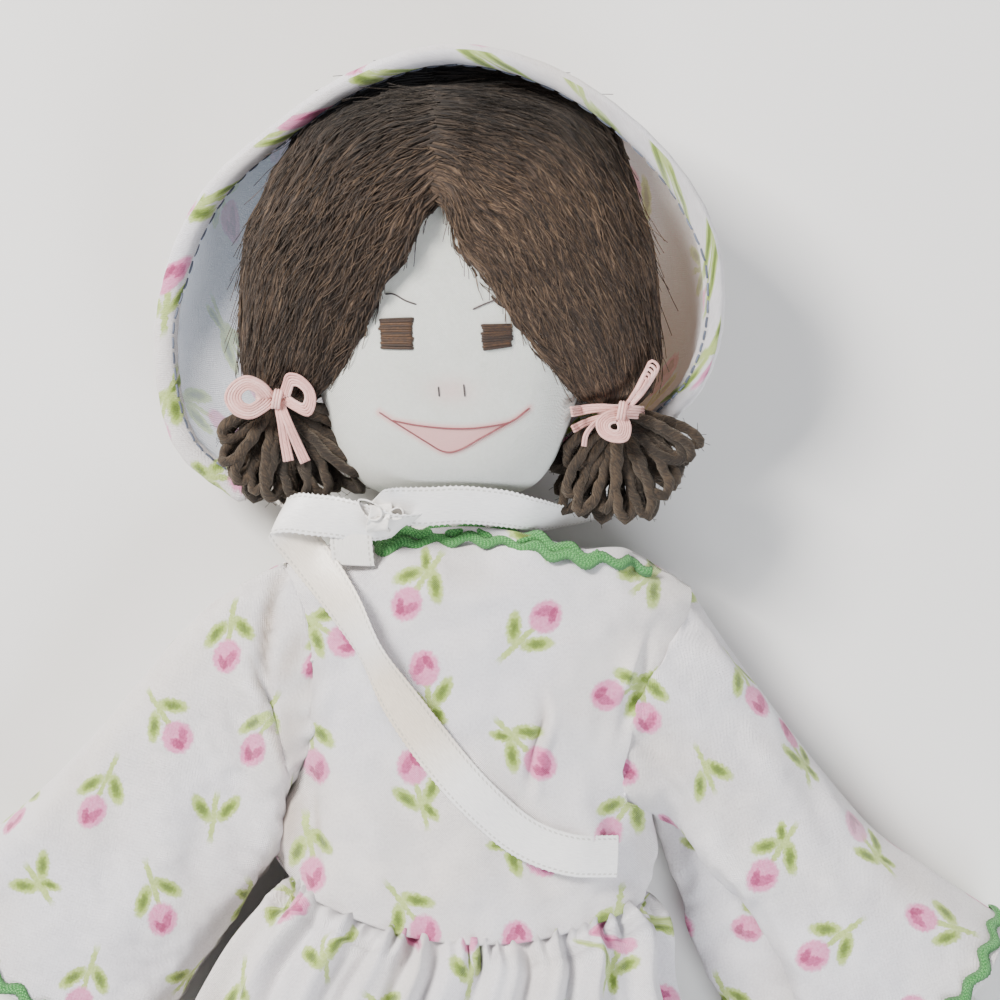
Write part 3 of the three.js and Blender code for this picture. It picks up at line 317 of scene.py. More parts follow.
def sprigged(name, strength=1.0, ground=((0.86, 0.84, 0.86), (0.96, 0.95, 0.965)), seed=0.0, painted_glow=False):
    finish = Finish(name, 0.86, sheen=0.3)
    place = finish.place()
    u, v = finish.parts(place)[:2]
    u, v = u + seed * SPRIG, v + seed * SPRIG * 0.7
    column = (u / SPRIG).whole()
    drop = (column / 2 - (column / 2).whole()) * SPRIG
    row = ((v + drop) / SPRIG).whole()
    roll = finish.dice(finish.vector(column, row, 7.0 + seed))
    second = finish.dice(finish.vector(column, row, 31.0 + seed))

    # the place in the sprig's own turned square, with ragged edges
    x = u - (column + 0.5) * SPRIG - (roll[0] - 0.5) * 4
    y = v + drop - (row + 0.5) * SPRIG - (roll[1] - 0.5) * 4
    turn = roll[2] * math.tau
    cos, sin = turn.cosine(), turn.sine()
    x, y = ((x * cos + y * sin) / SPRIG_SCALE + (finish.noise(place, 1.1) - 0.5) * 1.3,
            (y * cos - x * sin) / SPRIG_SCALE + (finish.noise(place, 0.9) - 0.5) * 1.3)
    bend = (second[1] - 0.5) * 0.5
    bud, petal, heart = (ellipse(x - bend * 2, y, *form) for form in BUD)
    leaves = [ellipse(x, y, *form) for form in LEAVES]
    leaves = leaves[0].least(leaves[1]).least(leaves[2] + second[2].below(0.5, 0.02) * 3)
    stem = ((x - bend * y * 0.3).size() / 0.6).most((y + 2.2).size() / 5.2)
    green = leaves.below(1, 0.34).most(stem.below(1, 0.5))
    pink = bud.below(1, 0.28) * second[0].below(0.78, 0.02)

    # the ground is cool in some places and warm in others, and uneven with its threads
    threads = finish.noise(place, 0.7)
    height = weave(finish, u, v, 0.5, place)
    shade = finish.noise(place, 12, 3) * 0.45 + threads * 0.22 + height * 0.33
    tanned = [[part * by for part, by in zip(colour, (1, 0.985, blue))]
              for colour, blue in zip(ground, (0.95, 0.955))]
    cool, warm = (finish.ramp(shade, [(0.3, dark), (0.62, pale)]) for dark, pale in (ground, tanned))
    cloth = finish.mix((finish.noise(place, 55) - 0.42) * 5, cool, warm)
    # painted shade: the cloth turns tan where a fold's shadow is painted on the mesh
    cloth = finish.mix(finish.attribute("fold_shade_and_cream"), cloth, (0.7, 0.63, 0.56))
    leaf = finish.ramp(leaves.below(0.45, 0.7) * 0.7 + threads * 0.35,
                       [(0.1, (0.78, 0.85, 0.52)), (0.42, (0.56, 0.66, 0.25)), (0.85, (0.4, 0.49, 0.16))])
    bloom = finish.ramp(petal.most(0).below(1, 0.5) * 0.4 + heart.below(1, 0.6) * 0.5 + threads * 0.5 - 0.1,
                        [(0.06, (0.93, 0.62, 0.76)), (0.34, (0.87, 0.45, 0.64)), (0.72, (0.66, 0.23, 0.42))])
    colour = finish.mix(pink * strength, finish.mix(green * strength, cloth, leaf), bloom)
    if painted_glow:
        # painted glow: an emission stands for light coming through the thin cotton, cool on the right side,
        # warm on the left
        side = finish.parts(finish.place("Object"))[0].below(0, 50)
        finish.dress(Emission_Color=finish.mix(side, (0.44, 0.35, 0.27), (0.45, 0.49, 0.54)),
                     Emission_Strength=0.9)
    return finish.done(colour, height, 0.22)


dress_print = sprigged("dress_print")
hem_print = sprigged("hem_print", seed=3.3)
bonnet_print = sprigged("bonnet_print", seed=5.6)
# the lining's ground is painted paler and bluer than the dress's, for light that comes through it, and it
# carries a painted glow
lining_print = sprigged("lining_print", 0.75, ((0.9, 0.91, 0.95), (0.965, 0.97, 0.99)), seed=8.2, painted_glow=True)
print("sprigged cotton, one sprig in every", SPRIG, "mm")

# %% [markdown]
# Yarn and floss are threads that run along the piece. Their meshes carry a map in metres with
# `u` round the strand, moved on by a fixed step for each strand, and `v` along it. So one noise,
# stretched along `v`, draws the fibres, and a random number for each step of `u` gives every
# strand its own shade.

# %% Yarn and floss
STRAND_STEP = 20.0


def stranded(name, shades, roughness, fibre, stretch, lift, twist=0.4, sheen=0.3, tint=(1, 1, 1), dim=False):
    finish = Finish(name, roughness, sheen, tint)
    place = finish.place()
    u, v = finish.parts(place)[:2]
    wound = finish.vector(u + v * twist, v / stretch)
    hairs = finish.noise(wound, fibre, 3, 0.65)
    own = finish.dice(finish.vector((u / STRAND_STEP + 0.5).whole(), 3.0))[0]
    drift = finish.noise(place, 7)
    colour = finish.ramp(hairs * 0.95 + own * 0.28 + drift * 0.3 - 0.26, shades)
    if dim:
        # painted shade: the yarn is darkened towards the crown, under the brim, and on the doll's right
        x, y = finish.parts(finish.place("Object"))[:2]
        colour = finish.scaled(colour, (y.below(138, 26) * 0.86 + 0.14) * (x.below(-20, 50) * -0.48 + 1))
    return finish.done(colour, hairs, lift)


hair_yarn = stranded("hair_yarn", [(0.2, (0.085, 0.057, 0.042)), (0.42, (0.18, 0.13, 0.096)),
                                   (0.58, (0.32, 0.242, 0.18)), (0.78, (0.53, 0.43, 0.335))],
                     0.82, 0.32, 9, 0.3, twist=0, sheen=0.12, tint=(0.8, 0.64, 0.5), dim=True)
plied_yarn = stranded("plied_yarn", [(0.2, (0.055, 0.039, 0.028)), (0.5, (0.145, 0.108, 0.075)),
                                     (0.8, (0.31, 0.246, 0.18))],
                      0.9, 0.55, 3, 0.8, twist=0.9, sheen=0.2, tint=(0.8, 0.66, 0.5))
pink_floss = stranded("pink_floss", [(0.2, (0.74, 0.5, 0.47)), (0.5, (0.87, 0.66, 0.62)),
                                     (0.85, (0.96, 0.81, 0.78))],
                      0.55, 0.22, 6, 0.12, twist=0.5, sheen=0.3)
brown_floss = stranded("brown_floss", [(0.25, (0.1, 0.06, 0.035)), (0.5, (0.2, 0.125, 0.065)),
                                       (0.75, (0.34, 0.225, 0.115))], 0.7, 0.2, 5, 0.06, sheen=0.1)
black_floss = stranded("black_floss", [(0.3, (0.13, 0.1, 0.1)), (0.7, (0.3, 0.25, 0.24))],
                       0.6, 0.2, 5, 0.08)
red_floss = stranded("red_floss", [(0.3, (0.36, 0.14, 0.15)), (0.7, (0.56, 0.27, 0.28))],
                     0.6, 0.2, 5, 0.08)
grey_thread = stranded("grey_thread", [(0.3, (0.26, 0.28, 0.33)), (0.7, (0.42, 0.45, 0.52))],
                       0.6, 0.15, 4, 0.05)
print("strands of yarn and floss")

# %% [markdown]
# Satin is woven so that its threads lie lengthwise on one side, which gives it its sheen. The
# ribbon's face is a cool white, and its back a warm cream that shows where it turns over, so a
# number painted on the mesh blends the two. Along the long end the cream also dips to cool white
# for a painted highlight. Rickrack is plaited: slanting waves cross on it.

# %% Satin and rickrack
PICOT_PITCH = 1.36
finish = Finish("satin", 0.3, sheen=0.25)
finish.dress(Anisotropic=0.5)
u, v = finish.parts(finish.place())[:2]
ribs = finish.noise(finish.vector(u, v / 14), 0.16)
cool, warm, dim = (finish.ramp(ribs, [(0.3, dark), (0.7, pale)]) for dark, pale in (
    ((0.9, 0.9, 0.905), (0.97, 0.968, 0.965)), ((0.83, 0.765, 0.67), (0.92, 0.865, 0.78)),
    ((0.64, 0.62, 0.58), (0.7, 0.68, 0.64))))
picot = (u.size() - 4.1).size().below(0.2, 0.12) * (v * math.tau / PICOT_PITCH).sine().below(0.2, 0.3)
# the cream of the ribbon's back, with a painted highlight where the long end's cream dips to white
colour = finish.mix(picot * 0.6, finish.mix(finish.attribute("fold_shade_and_cream"), cool, warm), dim)
satin = finish.done(colour, ribs - picot * 0.8, 0.06)

finish = Finish("braid", 0.7, sheen=0.3, sheen_tint=(0.6, 1, 0.6))
place = finish.place()
u, v = finish.parts(place)[:2]
plait = ((v * 4.2 + u * 3.6).sine() * (v * 4.2 - u * 3.6).sine()).size()
fuzz = finish.noise(place, 0.4, 3)
colour = finish.ramp(plait * 0.55 + fuzz * 0.6, [(0.2, (0.12, 0.36, 0.14)), (0.5, (0.25, 0.58, 0.26)),
                                                 (0.85, (0.48, 0.78, 0.45))])
braid = finish.done(colour, plait + fuzz * 0.5, 0.35)
print("satin and braid")

# %% [markdown]
# Every soft line on the doll is a smooth curve through a few places. The curve is a Catmull-Rom
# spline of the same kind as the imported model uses, so cloth made from the same places lies
# where the model's solids lie.

# %% Smooth lines


def run_along(line):
    # how far along a line each of its places lies
    return np.concatenate([[0], np.cumsum(np.linalg.norm(np.diff(line, axis=0), axis=1))])


def at_stops(stops, run, line):
    return np.stack([np.interp(stops, run, column) for column in line.T], 1)


def smooth_line(places, count, closed=False, even=True):
    p = np.asarray(places, float)
    spans = len(p) if closed else len(p) - 1
    ends = (p[-1:], p[:2]) if closed else (2 * p[:1] - p[1:2], 2 * p[-1:] - p[-2:-1])
    p = np.concatenate([ends[0], p, ends[1]])
    fine = max(2, math.ceil(6 * count / spans)) if even else count
    where = np.linspace(0, spans, fine * spans + 1 if even else count + 1)
    span = np.minimum(where.astype(int), spans - 1)
    a, b, c, d = (p[span + k] for k in range(4))
    gap = [np.maximum(np.linalg.norm(q, axis=-1, keepdims=True) ** 0.5, 1e-6) for q in (b - a, c - b, d - c)]
    leave = ((b - a) / gap[0] - (c - a) / (gap[0] + gap[1]) + (c - b) / gap[1]) * gap[1]
    arrive = ((c - b) / gap[1] - (d - b) / (gap[1] + gap[2]) + (d - c) / gap[2]) * gap[1]
    t = (where - span).reshape(-1, *[1] * (p.ndim - 1))
    line = ((2 * t**3 - 3 * t**2 + 1) * b + (t**3 - 2 * t**2 + t) * leave
            + (3 * t**2 - 2 * t**3) * c + (t**3 - t**2) * arrive)
    if not even:
        return line
    run = run_along(line)
    line = at_stops(np.linspace(0, run[-1], count + 1), run, line)
    return line[:-1] if closed else line


def unit(vectors):
    return vectors / np.maximum(np.linalg.norm(vectors, axis=-1, keepdims=True), 1e-9)


print("a quarter of the way down the part:", smooth_line([[0, 0], [1, 2], [0, 4]], 4)[1].round(2))

# %% [markdown]
# A sheet of cloth is a grid of places, row by row. Its map is measured along the cloth itself,
# from the middle of each row outwards and down its length or its fall, so the print keeps its
# size through folds and gathers. Solidify then gives the sheet its thickness on the inner side.

# %% Sheets of cloth


def add_mesh(name, places, faces, finish, corners=None):
    mesh = bpy.data.meshes.new(name)
    mesh.from_pydata((np.asarray(places) * MM).tolist(), [], faces)
    shade_smooth(mesh)
    if corners is not None:
        mesh.uv_layers.new(name="cloth").data.foreach_set("uv", (np.asarray(corners) * MM).ravel())
    mesh.materials.append(finish)
    return add_object(name, mesh)


def shade_smooth(mesh):
    mesh.polygons.foreach_set("use_smooth", [True] * len(mesh.polygons))


def paint(piece, name, values):
    # one number at each of the mesh's points, for the material to read
    data = piece.data.attributes.new(name, "FLOAT", "POINT").data
    data.foreach_set("value", np.asarray(values, np.float32).ravel())


def modify(piece, kind, **settings):
    modifier = piece.modifiers.new(kind.lower(), kind)
    for setting, value in settings.items():
        setattr(modifier, setting, value)
    return modifier


def apply_modifiers(piece):
    bpy.ops.object.select_all(action="DESELECT")
    piece.select_set(True)
    bpy.context.view_layer.objects.active = piece
    for modifier in list(piece.modifiers):
        bpy.ops.object.modifier_apply(modifier=modifier.name)
    piece.select_set(False)


def grid(down, across, closed):
    j, i = np.mgrid[0:down - 1, 0:across if closed else across - 1]
    j, i = j.ravel(), i.ravel()
    return np.stack([j, j, j + 1, j + 1], 1), np.stack([i, i + 1, i + 1, i], 1)


def ringed(rows):
    # rows of a tube, with the first column again as the last
    return np.concatenate([rows, rows[:, :1]], 1)


def across_cloth(rows):
    side = np.linalg.norm(np.diff(rows, axis=1), axis=2)
    return np.concatenate([np.zeros((len(rows), 1)), np.cumsum(side, 1)], 1)


def cloth_map(rows):
    u = across_cloth(rows)
    u -= u[:, [u.shape[1] // 2]]
    return np.stack([u, -across_cloth(rows.swapaxes(0, 1)).T], -1)


def fall_map(rows, fall, middle=None):
    # across from the middle column by length, and straight down along the fall of the cloth
    u = across_cloth(rows)
    middle = rows.shape[1] // 2 if middle is None else middle
    ahead = (rows[:, middle + 1] - rows[:, middle - 1]).mean(0)
    ahead = unit(ahead - fall * (ahead @ fall))
    u += rows[:, [middle]] @ ahead - u[:, [middle]]
    return np.stack([u, -(rows @ fall)], -1)


def sheet_mesh(name, rows, finish, thickness, closed=False, marks=None, back=None, layout=None):
    rows = np.asarray(rows, float)
    down, across = rows.shape[:2]
    lengths = cloth_map(ringed(rows) if closed else rows) if layout is None else layout
    j, i = grid(down, across, closed)
    faces = (j * across + i % across).tolist()
    piece = add_mesh(name, rows.reshape(-1, 3), faces, finish, lengths[j, i])
    if marks is not None:
        # painted fold shade on cloth; on satin, the cream of its back and a painted highlight
        paint(piece, "fold_shade_and_cream", np.broadcast_to(marks, (down, across)))
    solid = modify(piece, "SOLIDIFY", thickness=thickness * MM, offset=-1, use_rim=True)
    if back is not None:
        piece.data.materials.append(back)
        solid.material_offset = 1
    apply_modifiers(piece)
    print(name, len(piece.data.polygons), "faces")
    return piece


def normals_of(rows, closed=False):
    if closed:
        side = np.roll(rows, -1, 1) - np.roll(rows, 1, 1)
    else:
        side = np.gradient(rows, axis=1)
    return unit(np.cross(side, np.gradient(rows, axis=0)))


def settle(piece, body, replaced):
    # the piece rides with its body, and stands for the imported node if it has one
    if body:
        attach(piece, body)
    if replaced:
        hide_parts(replaced)
    return piece


# %% [markdown]
# Yarn and thread are long thin tubes. Many of them make one piece, so they are built together:
# a ring of points is carried along all the lines at once, turned as little as possible on the
# way, and the ends are closed. The map's `u` starts at a new step for every strand.

# %% Strands of yarn and thread
dice = np.random.default_rng(11)


def strands(name, lines, radius, finish, sides=6, first=0):
    lines = np.asarray(lines, float)
    many, length = lines.shape[:2]
    radius = np.broadcast_to(radius, (many, length))
    run = unit(np.gradient(lines, axis=1))
    across = np.cross(run[:, 0], [0.0, 0.13, 1.0])
    turns = np.arange(sides) / sides * math.tau
    rings = np.empty((many, length, sides, 3))
    for n in range(length):
        across = unit(across - run[:, n] * np.sum(across * run[:, n], 1, keepdims=True))
        up = np.cross(run[:, n], across)
        spokes = across[:, None] * np.cos(turns)[:, None] + up[:, None] * np.sin(turns)[:, None]
        rings[:, n] = lines[:, n, None] + spokes * radius[:, n, None, None]
    j, i = grid(length, sides, True)
    ring_faces = j * sides + i % sides
    starts = np.arange(many) * length * sides
    faces = (starts[:, None, None] + ring_faces).reshape(-1, 4)
    caps = [list(range(s + sides - 1, s - 1, -1)) for s in starts]
    caps += [list(range(s + (length - 1) * sides, s + length * sides)) for s in starts]
    own_u, own_v = (first + np.arange(many)) * STRAND_STEP, np.arange(many) * 3.7
    u = own_u[:, None, None] + (i / sides * math.tau * radius.mean())[None]
    v = across_cloth(lines)[:, j] + own_v[:, None, None]
    corners = np.stack(np.broadcast_arrays(u, v), -1).reshape(-1, 2)
    cap_corners = np.repeat(np.stack([own_u, own_v], 1), sides, 0)
    corners = np.concatenate([corners, cap_corners, cap_corners])
    piece = add_mesh(name, rings.reshape(-1, 3), faces.tolist() + caps, finish, corners)
    print(name, many, "strands,", len(piece.data.polygons), "faces")
    return piece


def surface(*pieces):
    # a search tree of finished pieces, in millimetres, to lay things on them
    places, faces = [], []
    for piece in pieces:
        start = len(places)
        places += [v.co / MM for v in piece.data.vertices]
        faces += [[start + k for k in face.vertices] for face in piece.data.polygons]
    return BVHTree.FromPolygons(places, faces)


def height_under(tree, x, y):
    return tree.ray_cast(Vector((x, y, 300)), Vector((0, 0, -1)))[0]


def lay_on(tree, places, otherwise):
    # heights of a surface straight under some places
    hits = [height_under(tree, x, y) for x, y in places]
    return np.array([hit.z if hit else otherwise for hit in hits])


print("helpers for cloth and strands ready")

# %% [markdown]
# The doll's body is muslin stuffed with fibre. Each part starts as an oval form along its
# length, like the pattern pieces once they are sewn and turned. A short cloth simulation with
# air pressure inside puckers and fills it, and a cap keeps it clear of its neighbours.

# %% Stuffed forms
STUFFING_SHOTS = 20


def stuffed_form(length, width, depth, shares, sides, rings):
    # each row holds a share of the length, of the width and depth, and of the way off the middle
    shares = np.array([(list(row) + [0, 0])[:5] for row in shares], float)
    cells = [smooth_line(shares[:, [0, k, k + 1]], rings, even=False) for k in (1, 3)]
    along, wide, deep = cells[0].T
    side, front = cells[1][:, 1:].T
    turns = np.arange(sides) / sides * math.tau
    x = side[:, None] * width / 2 + np.cos(turns) * np.maximum(wide, 0.004)[:, None] * width / 2
    z = front[:, None] * depth / 2 + np.sin(turns) * np.maximum(deep, 0.004)[:, None] * depth / 2
    return np.stack([x, np.repeat(along[:, None] * length, sides, 1), z], -1)


def form_mesh(name, rings, finish):
    down, across = rings.shape[:2]
    j, i = grid(down, across, True)
    faces = (j * across + i % across)[:, ::-1].tolist()
    faces += [list(range(across)), list(range(down * across - 1, (down - 1) * across - 1, -1))]
    return add_mesh(name, rings.reshape(-1, 3), faces, finish)


def fill_with_fibre(piece, voxel, cap):
    # remesh to even cloth, press it out from inside, and keep each point within the cap
    modify(piece, "REMESH", mode="VOXEL", voxel_size=voxel * MM)
    modify(piece, "SMOOTH", iterations=3)
    apply_modifiers(piece)
    before = np.array([v.co for v in piece.data.vertices])
    cloth = modify(piece, "CLOTH")
    cloth.settings.quality = 4
    cloth.settings.mass = 0.2
    cloth.settings.use_pressure = True
    cloth.settings.uniform_pressure_force = 4
    cloth.settings.effector_weights.gravity = 0
    cloth.point_cache.frame_start = 1
    cloth.point_cache.frame_end = STUFFING_SHOTS
    for shot in range(1, STUFFING_SHOTS + 1):
        bpy.context.scene.frame_set(shot)
    graph = bpy.context.evaluated_depsgraph_get()
    after = np.array([v.co for v in piece.evaluated_get(graph).data.vertices])
    piece.modifiers.remove(cloth)
    bpy.context.scene.frame_set(1)
    if after.shape == before.shape and np.isfinite(after).all():
        move = after - before
        far = np.linalg.norm(move, axis=1, keepdims=True)
        before = before + move * np.minimum(1, cap * MM / np.maximum(far, 1e-9))
    piece.data.vertices.foreach_set("co", before.ravel())
    shade_smooth(piece.data)
    modify(piece, "SUBSURF", levels=1, render_levels=1)
    apply_modifiers(piece)
    print(piece.name, "filled,", len(piece.data.polygons), "faces")
    return piece


# %% [markdown]
# The trunk is almost all under the dress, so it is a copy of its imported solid, stuffed the same
# way. It keeps the hollows that the arms and thighs turn in.

# %% Trunk


def copy_of(node, name, finish):
    piece = nodes[node].copy()
    piece.data = nodes[node].data.copy()
    piece.name = piece.data.name = name
    for key in list(piece.keys()):
        del piece[key]
    piece.parent = None
    bpy.context.collection.objects.link(piece)
    work = bmesh.new()
    work.from_mesh(piece.data)
    bmesh.ops.remove_doubles(work, verts=work.verts, dist=0.00001)
    work.to_mesh(piece.data)
    work.free()
    piece.data.materials.clear()
    piece.data.materials.append(finish)
    return piece


torso = fill_with_fibre(copy_of("torso", "torso_muslin", muslin), 2, 0.25)
settle(torso, "torso", "torso")

# %% [markdown]
# Arms end in mittens and legs in plain feet. They hang from the shoulder and the hip at the
# packed pose's angles.

# %% Arms and legs
ARM = [[0, 0, 0], [0.012, 0.46, 0.46], [0.045, 0.82, 0.82], [0.09, 1, 1], [0.18, 0.97, 0.97, 0, -0.03],
       [0.4, 0.9, 0.9, 0, -0.1], [0.62, 0.8, 0.8, 0, -0.2], [0.78, 0.68, 0.66, 0, -0.32],
       [0.86, 0.84, 0.68, 0, -0.3], [0.93, 0.9, 0.66, 0, -0.32], [0.985, 0.58, 0.4, 0, -0.32],
       [1, 0, 0, 0, -0.32]]
LEG = [[0, 0, 0], [0.01, 0.46, 0.46], [0.035, 0.82, 0.82], [0.075, 1, 1], [0.25, 0.98, 0.98, 0, -0.02],
       [0.48, 0.84, 0.84, 0, -0.16], [0.66, 0.82, 0.84, 0, -0.16], [0.84, 0.62, 0.64, 0, -0.34],
       [0.89, 0.66, 0.82, 0, -0.22], [0.94, 0.74, 1.18, 0, -0.12], [0.985, 0.6, 0.94, 0, -0.08],
       [1, 0, 0, 0, -0.06]]


def limb(name, length, radius, shares, pivot, angle):
    rings = stuffed_form(length + radius, radius * 2, radius * 2, shares, 40, 70)
    x, y, z = np.moveaxis(rings, -1, 0)
    x, y = -x, radius - y
    cos, sin = math.cos(angle), math.sin(angle)
    return form_mesh(name, np.stack([x * cos - y * sin, x * sin + y * cos, z], -1) + pivot, muslin)


for side, sign in SIDES.items():
    arm = limb(f"arm_muslin_{side}", 128, 11.5, ARM, SHOULDER * (sign, 1, 1), ARM_ANGLE[side])
    leg = limb(f"leg_muslin_{side}", 180, 14.5, LEG, HIP * (sign, 1, 1), sign * LEG_SPREAD)
    for kind, piece in (("arm", arm), ("leg", leg)):
        fill_with_fibre(piece, 1.9, 0.3)
        settle(piece, f"{kind}_{side}", f"{kind}_{side}")

# %% [markdown]
# The head is a flat stuffed oval with a narrow chin. The mouth is stitched in outline over a
# touch of pink, so a number painted on the muslin round the lips blends the pink in. Each
# point's number comes from how far it lies from the stitched lines.

# %% Head
HEAD = [[0, 0, 0], [0.008, 0.32, 0.2], [0.022, 0.45, 0.36], [0.05, 0.54, 0.52], [0.1, 0.62, 0.68],
        [0.18, 0.7, 0.82], [0.29, 0.775, 0.92], [0.4, 0.87, 0.98], [0.5, 0.95, 1], [0.62, 1, 1],
        [0.73, 0.99, 0.98], [0.83, 0.91, 0.9], [0.92, 0.7, 0.7], [0.975, 0.42, 0.42], [1, 0, 0]]
UPPER_LIP = [(392.7, 421.2), (417.6, 426.1), (450.1, 429.4), (476.1, 429), (502.2, 425.1),
             (510.8, 422.9)]
LOWER_LIP = [(380.3, 413.1), (392.7, 421.2), (411.1, 432.7), (428.4, 443.5), (441.4, 451.1),
             (450.1, 452.8), (461, 450), (480.5, 439.2), (502.2, 427.2), (517.3, 418.6), (529.3, 408.8)]

head_rings = on_head(stuffed_form(94, 81, 45, HEAD, 88, 80) + (-2.2, 5, 10))
head = fill_with_fibre(form_mesh("head_muslin", head_rings, face_muslin), 1.7, 0.3)
head_top = surface(head)
upper_lip, lower_lip = (smooth_line(seen_at(lip), 60) for lip in (UPPER_LIP, LOWER_LIP))
lips = np.concatenate([upper_lip, lower_lip])
flat = np.array([v.co for v in head.data.vertices]) / MM
away = np.array([np.min(np.linalg.norm(lips - p[:2], axis=1)) if p[2] > 40 else 99 for p in flat])
inside = np.array([np.interp(p[0], upper_lip[:, 0], upper_lip[:, 1]) > p[1]
                   > np.interp(p[0], lower_lip[:, 0], lower_lip[:, 1]) for p in flat]) & (away < 8)
blush = np.maximum(inside * 0.75, np.exp(-(away / 0.75) ** 2) * 0.8)
nose = np.linalg.norm((flat[:, :2] - seen_at([452, 392])) / (5.5, 3.2), axis=1)
blush = np.maximum(blush, np.exp(-nose**2) * 0.3 * (flat[:, 2] > 40))
paint(head, "blush", blush)
settle(head, "head", "head")
print("blush on", int((blush > 0.1).sum()), "points")

# %% [markdown]
# The eyes are satin stitch: threads laid side by side from edge to edge. The brows, nose and
# mouth are single lines of thread. All of them are short strands laid on the muslin.

# %% Stitched face


def thread_lines(name, lines, radius, finish, count=24, sink=0.4, first=0):
    laid = []
    for line in lines:
        flat = seen_at(line)
        flat = smooth_line(flat, count) if len(line) > 2 else np.linspace(*flat, count + 1)
        height = lay_on(head_top, flat, 50) + radius * (1 - sink)
        height[[0, -1]] -= radius
        laid.append(np.column_stack([flat, height]))
    return strands(name, laid, radius, finish, first=first)


def satin_eye(corners, rows):
    top_left, top_right, low_right, low_left = (np.array(c, float) for c in corners)
    lines = []
    for row in range(rows):
        share = (row + 0.5) / rows
        left = top_left + (low_left - top_left) * share + dice.normal(0, [0.8, 0.2])
        right = top_right + (low_right - top_right) * share + dice.normal(0, [0.8, 0.2])
        lines.append([left, (left + right) / 2 + dice.normal(0, [0, 0.25]), right])
    return lines


eyes = satin_eye([(381.5, 321), (413.5, 320.5), (413.3, 351.3), (383, 350.5)], 13)
eyes += satin_eye([(481.6, 327), (512, 326), (510.4, 348.5), (483.7, 353)], 10)
eye_threads = thread_lines("eye_stitches", eyes, 0.38, brown_floss, sink=0.3)
mouth = [UPPER_LIP, LOWER_LIP]
mouth_thread = thread_lines("mouth_stitches", mouth, 0.2, red_floss, 70, first=40)
dark = [[(387.2, 297.1), (394.8, 297.1), (406.7, 303.6), (417.6, 307.5)],
        [(473.5, 312.3), (487, 306.2), (498.3, 301.9)], [(439.3, 388.6), (440, 397.5)],
        [(464.2, 386.5), (465.3, 397.5)]]
dark_threads = thread_lines("brow_nose_stitches", dark, 0.2, black_floss, first=60)
for piece in (eye_threads, mouth_thread, dark_threads):
    settle(piece, "head", None)

# %% [markdown]
# The hair is brown yarn, sewn down along the parting, brushed out soft and swept to a tie at
# each side. Real strands part at the face, fan over the head and come together at the tie, so
# each strand here is a mix of two lines: the edge of the face and the outline of the hair. Its
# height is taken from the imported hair, and it wanders a little, as brushed yarn does.

# %% Lines of the hair
FACE_EDGE = {"right": [(434, 205), (420, 232), (403, 266), (384, 295), (369, 325), (353, 354),
                       (338, 376), (318, 393), (296, 401)],
             "left": [(434, 205), (447, 214), (462, 255), (483, 279), (499, 302), (516, 327),
                      (531, 348), (552, 371), (570, 390), (594, 404)]}
OUTLINE = {"right": [(434, 71), (384, 77), (343, 95), (315, 123), (297, 160), (274, 206), (255, 250),
                     (247, 300), (246, 345), (250, 380), (266, 396)],
           "left": [(434, 71), (491, 73), (543, 85), (578, 103), (599, 131), (617, 172), (631, 221),
                    (645, 267), (651, 313), (653, 360), (645, 392), (630, 406)]}
hair_top = surface(nodes["hair_right"], nodes["hair_left"], nodes["head"])
HAIR_MIDDLE = on_head([-2.2, 65, 9])
HAIRS = 300
HAIR_STEPS = 44
WISPS = 3600
WISP_PLACES = 6


def hair_line(side, share, depth, over):
    inner = smooth_line(seen_at(FACE_EDGE[side]), HAIR_STEPS)
    outer = smooth_line(seen_at(OUTLINE[side]), HAIR_STEPS)
    t = np.linspace(0, 1, HAIR_STEPS + 1)
    flat = inner + (outer - inner) * share
    flat[:, 0] += (over if side == "right" else -over) * np.clip(1 - t * 9, 0, 1)
    run = unit(np.gradient(flat, axis=0))
    waves = sum(dice.normal(0, 1 / k) * np.sin(math.tau * (k * t * 1.7 + dice.random()))
                for k in (1, 2, 3, 5))
    waves = waves + dice.normal(0, 0.18, HAIR_STEPS + 1)
    waves = waves * 0.7 * np.sin(math.pi * np.clip(t * 1.2, 0, 1))
    flat = flat + run[:, ::-1] * [-1, 1] * waves[:, None]
    height = []
    for x, y in flat:
        for pull in range(9):
            px, py = (x, y) + (HAIR_MIDDLE[:2] - (x, y)) * pull * 0.018
            hit = height_under(hair_top, px, py)
            if hit:
                break
        height.append(hit.z - pull * 1.6 if hit else HAIR_MIDDLE[2])
    height = np.convolve(np.pad(height, 2, mode="edge"), np.ones(5) / 5, "valid")
    height -= 0.9 * np.clip(1 - t * 14, 0, 1)
    return np.column_stack([flat, height + depth])


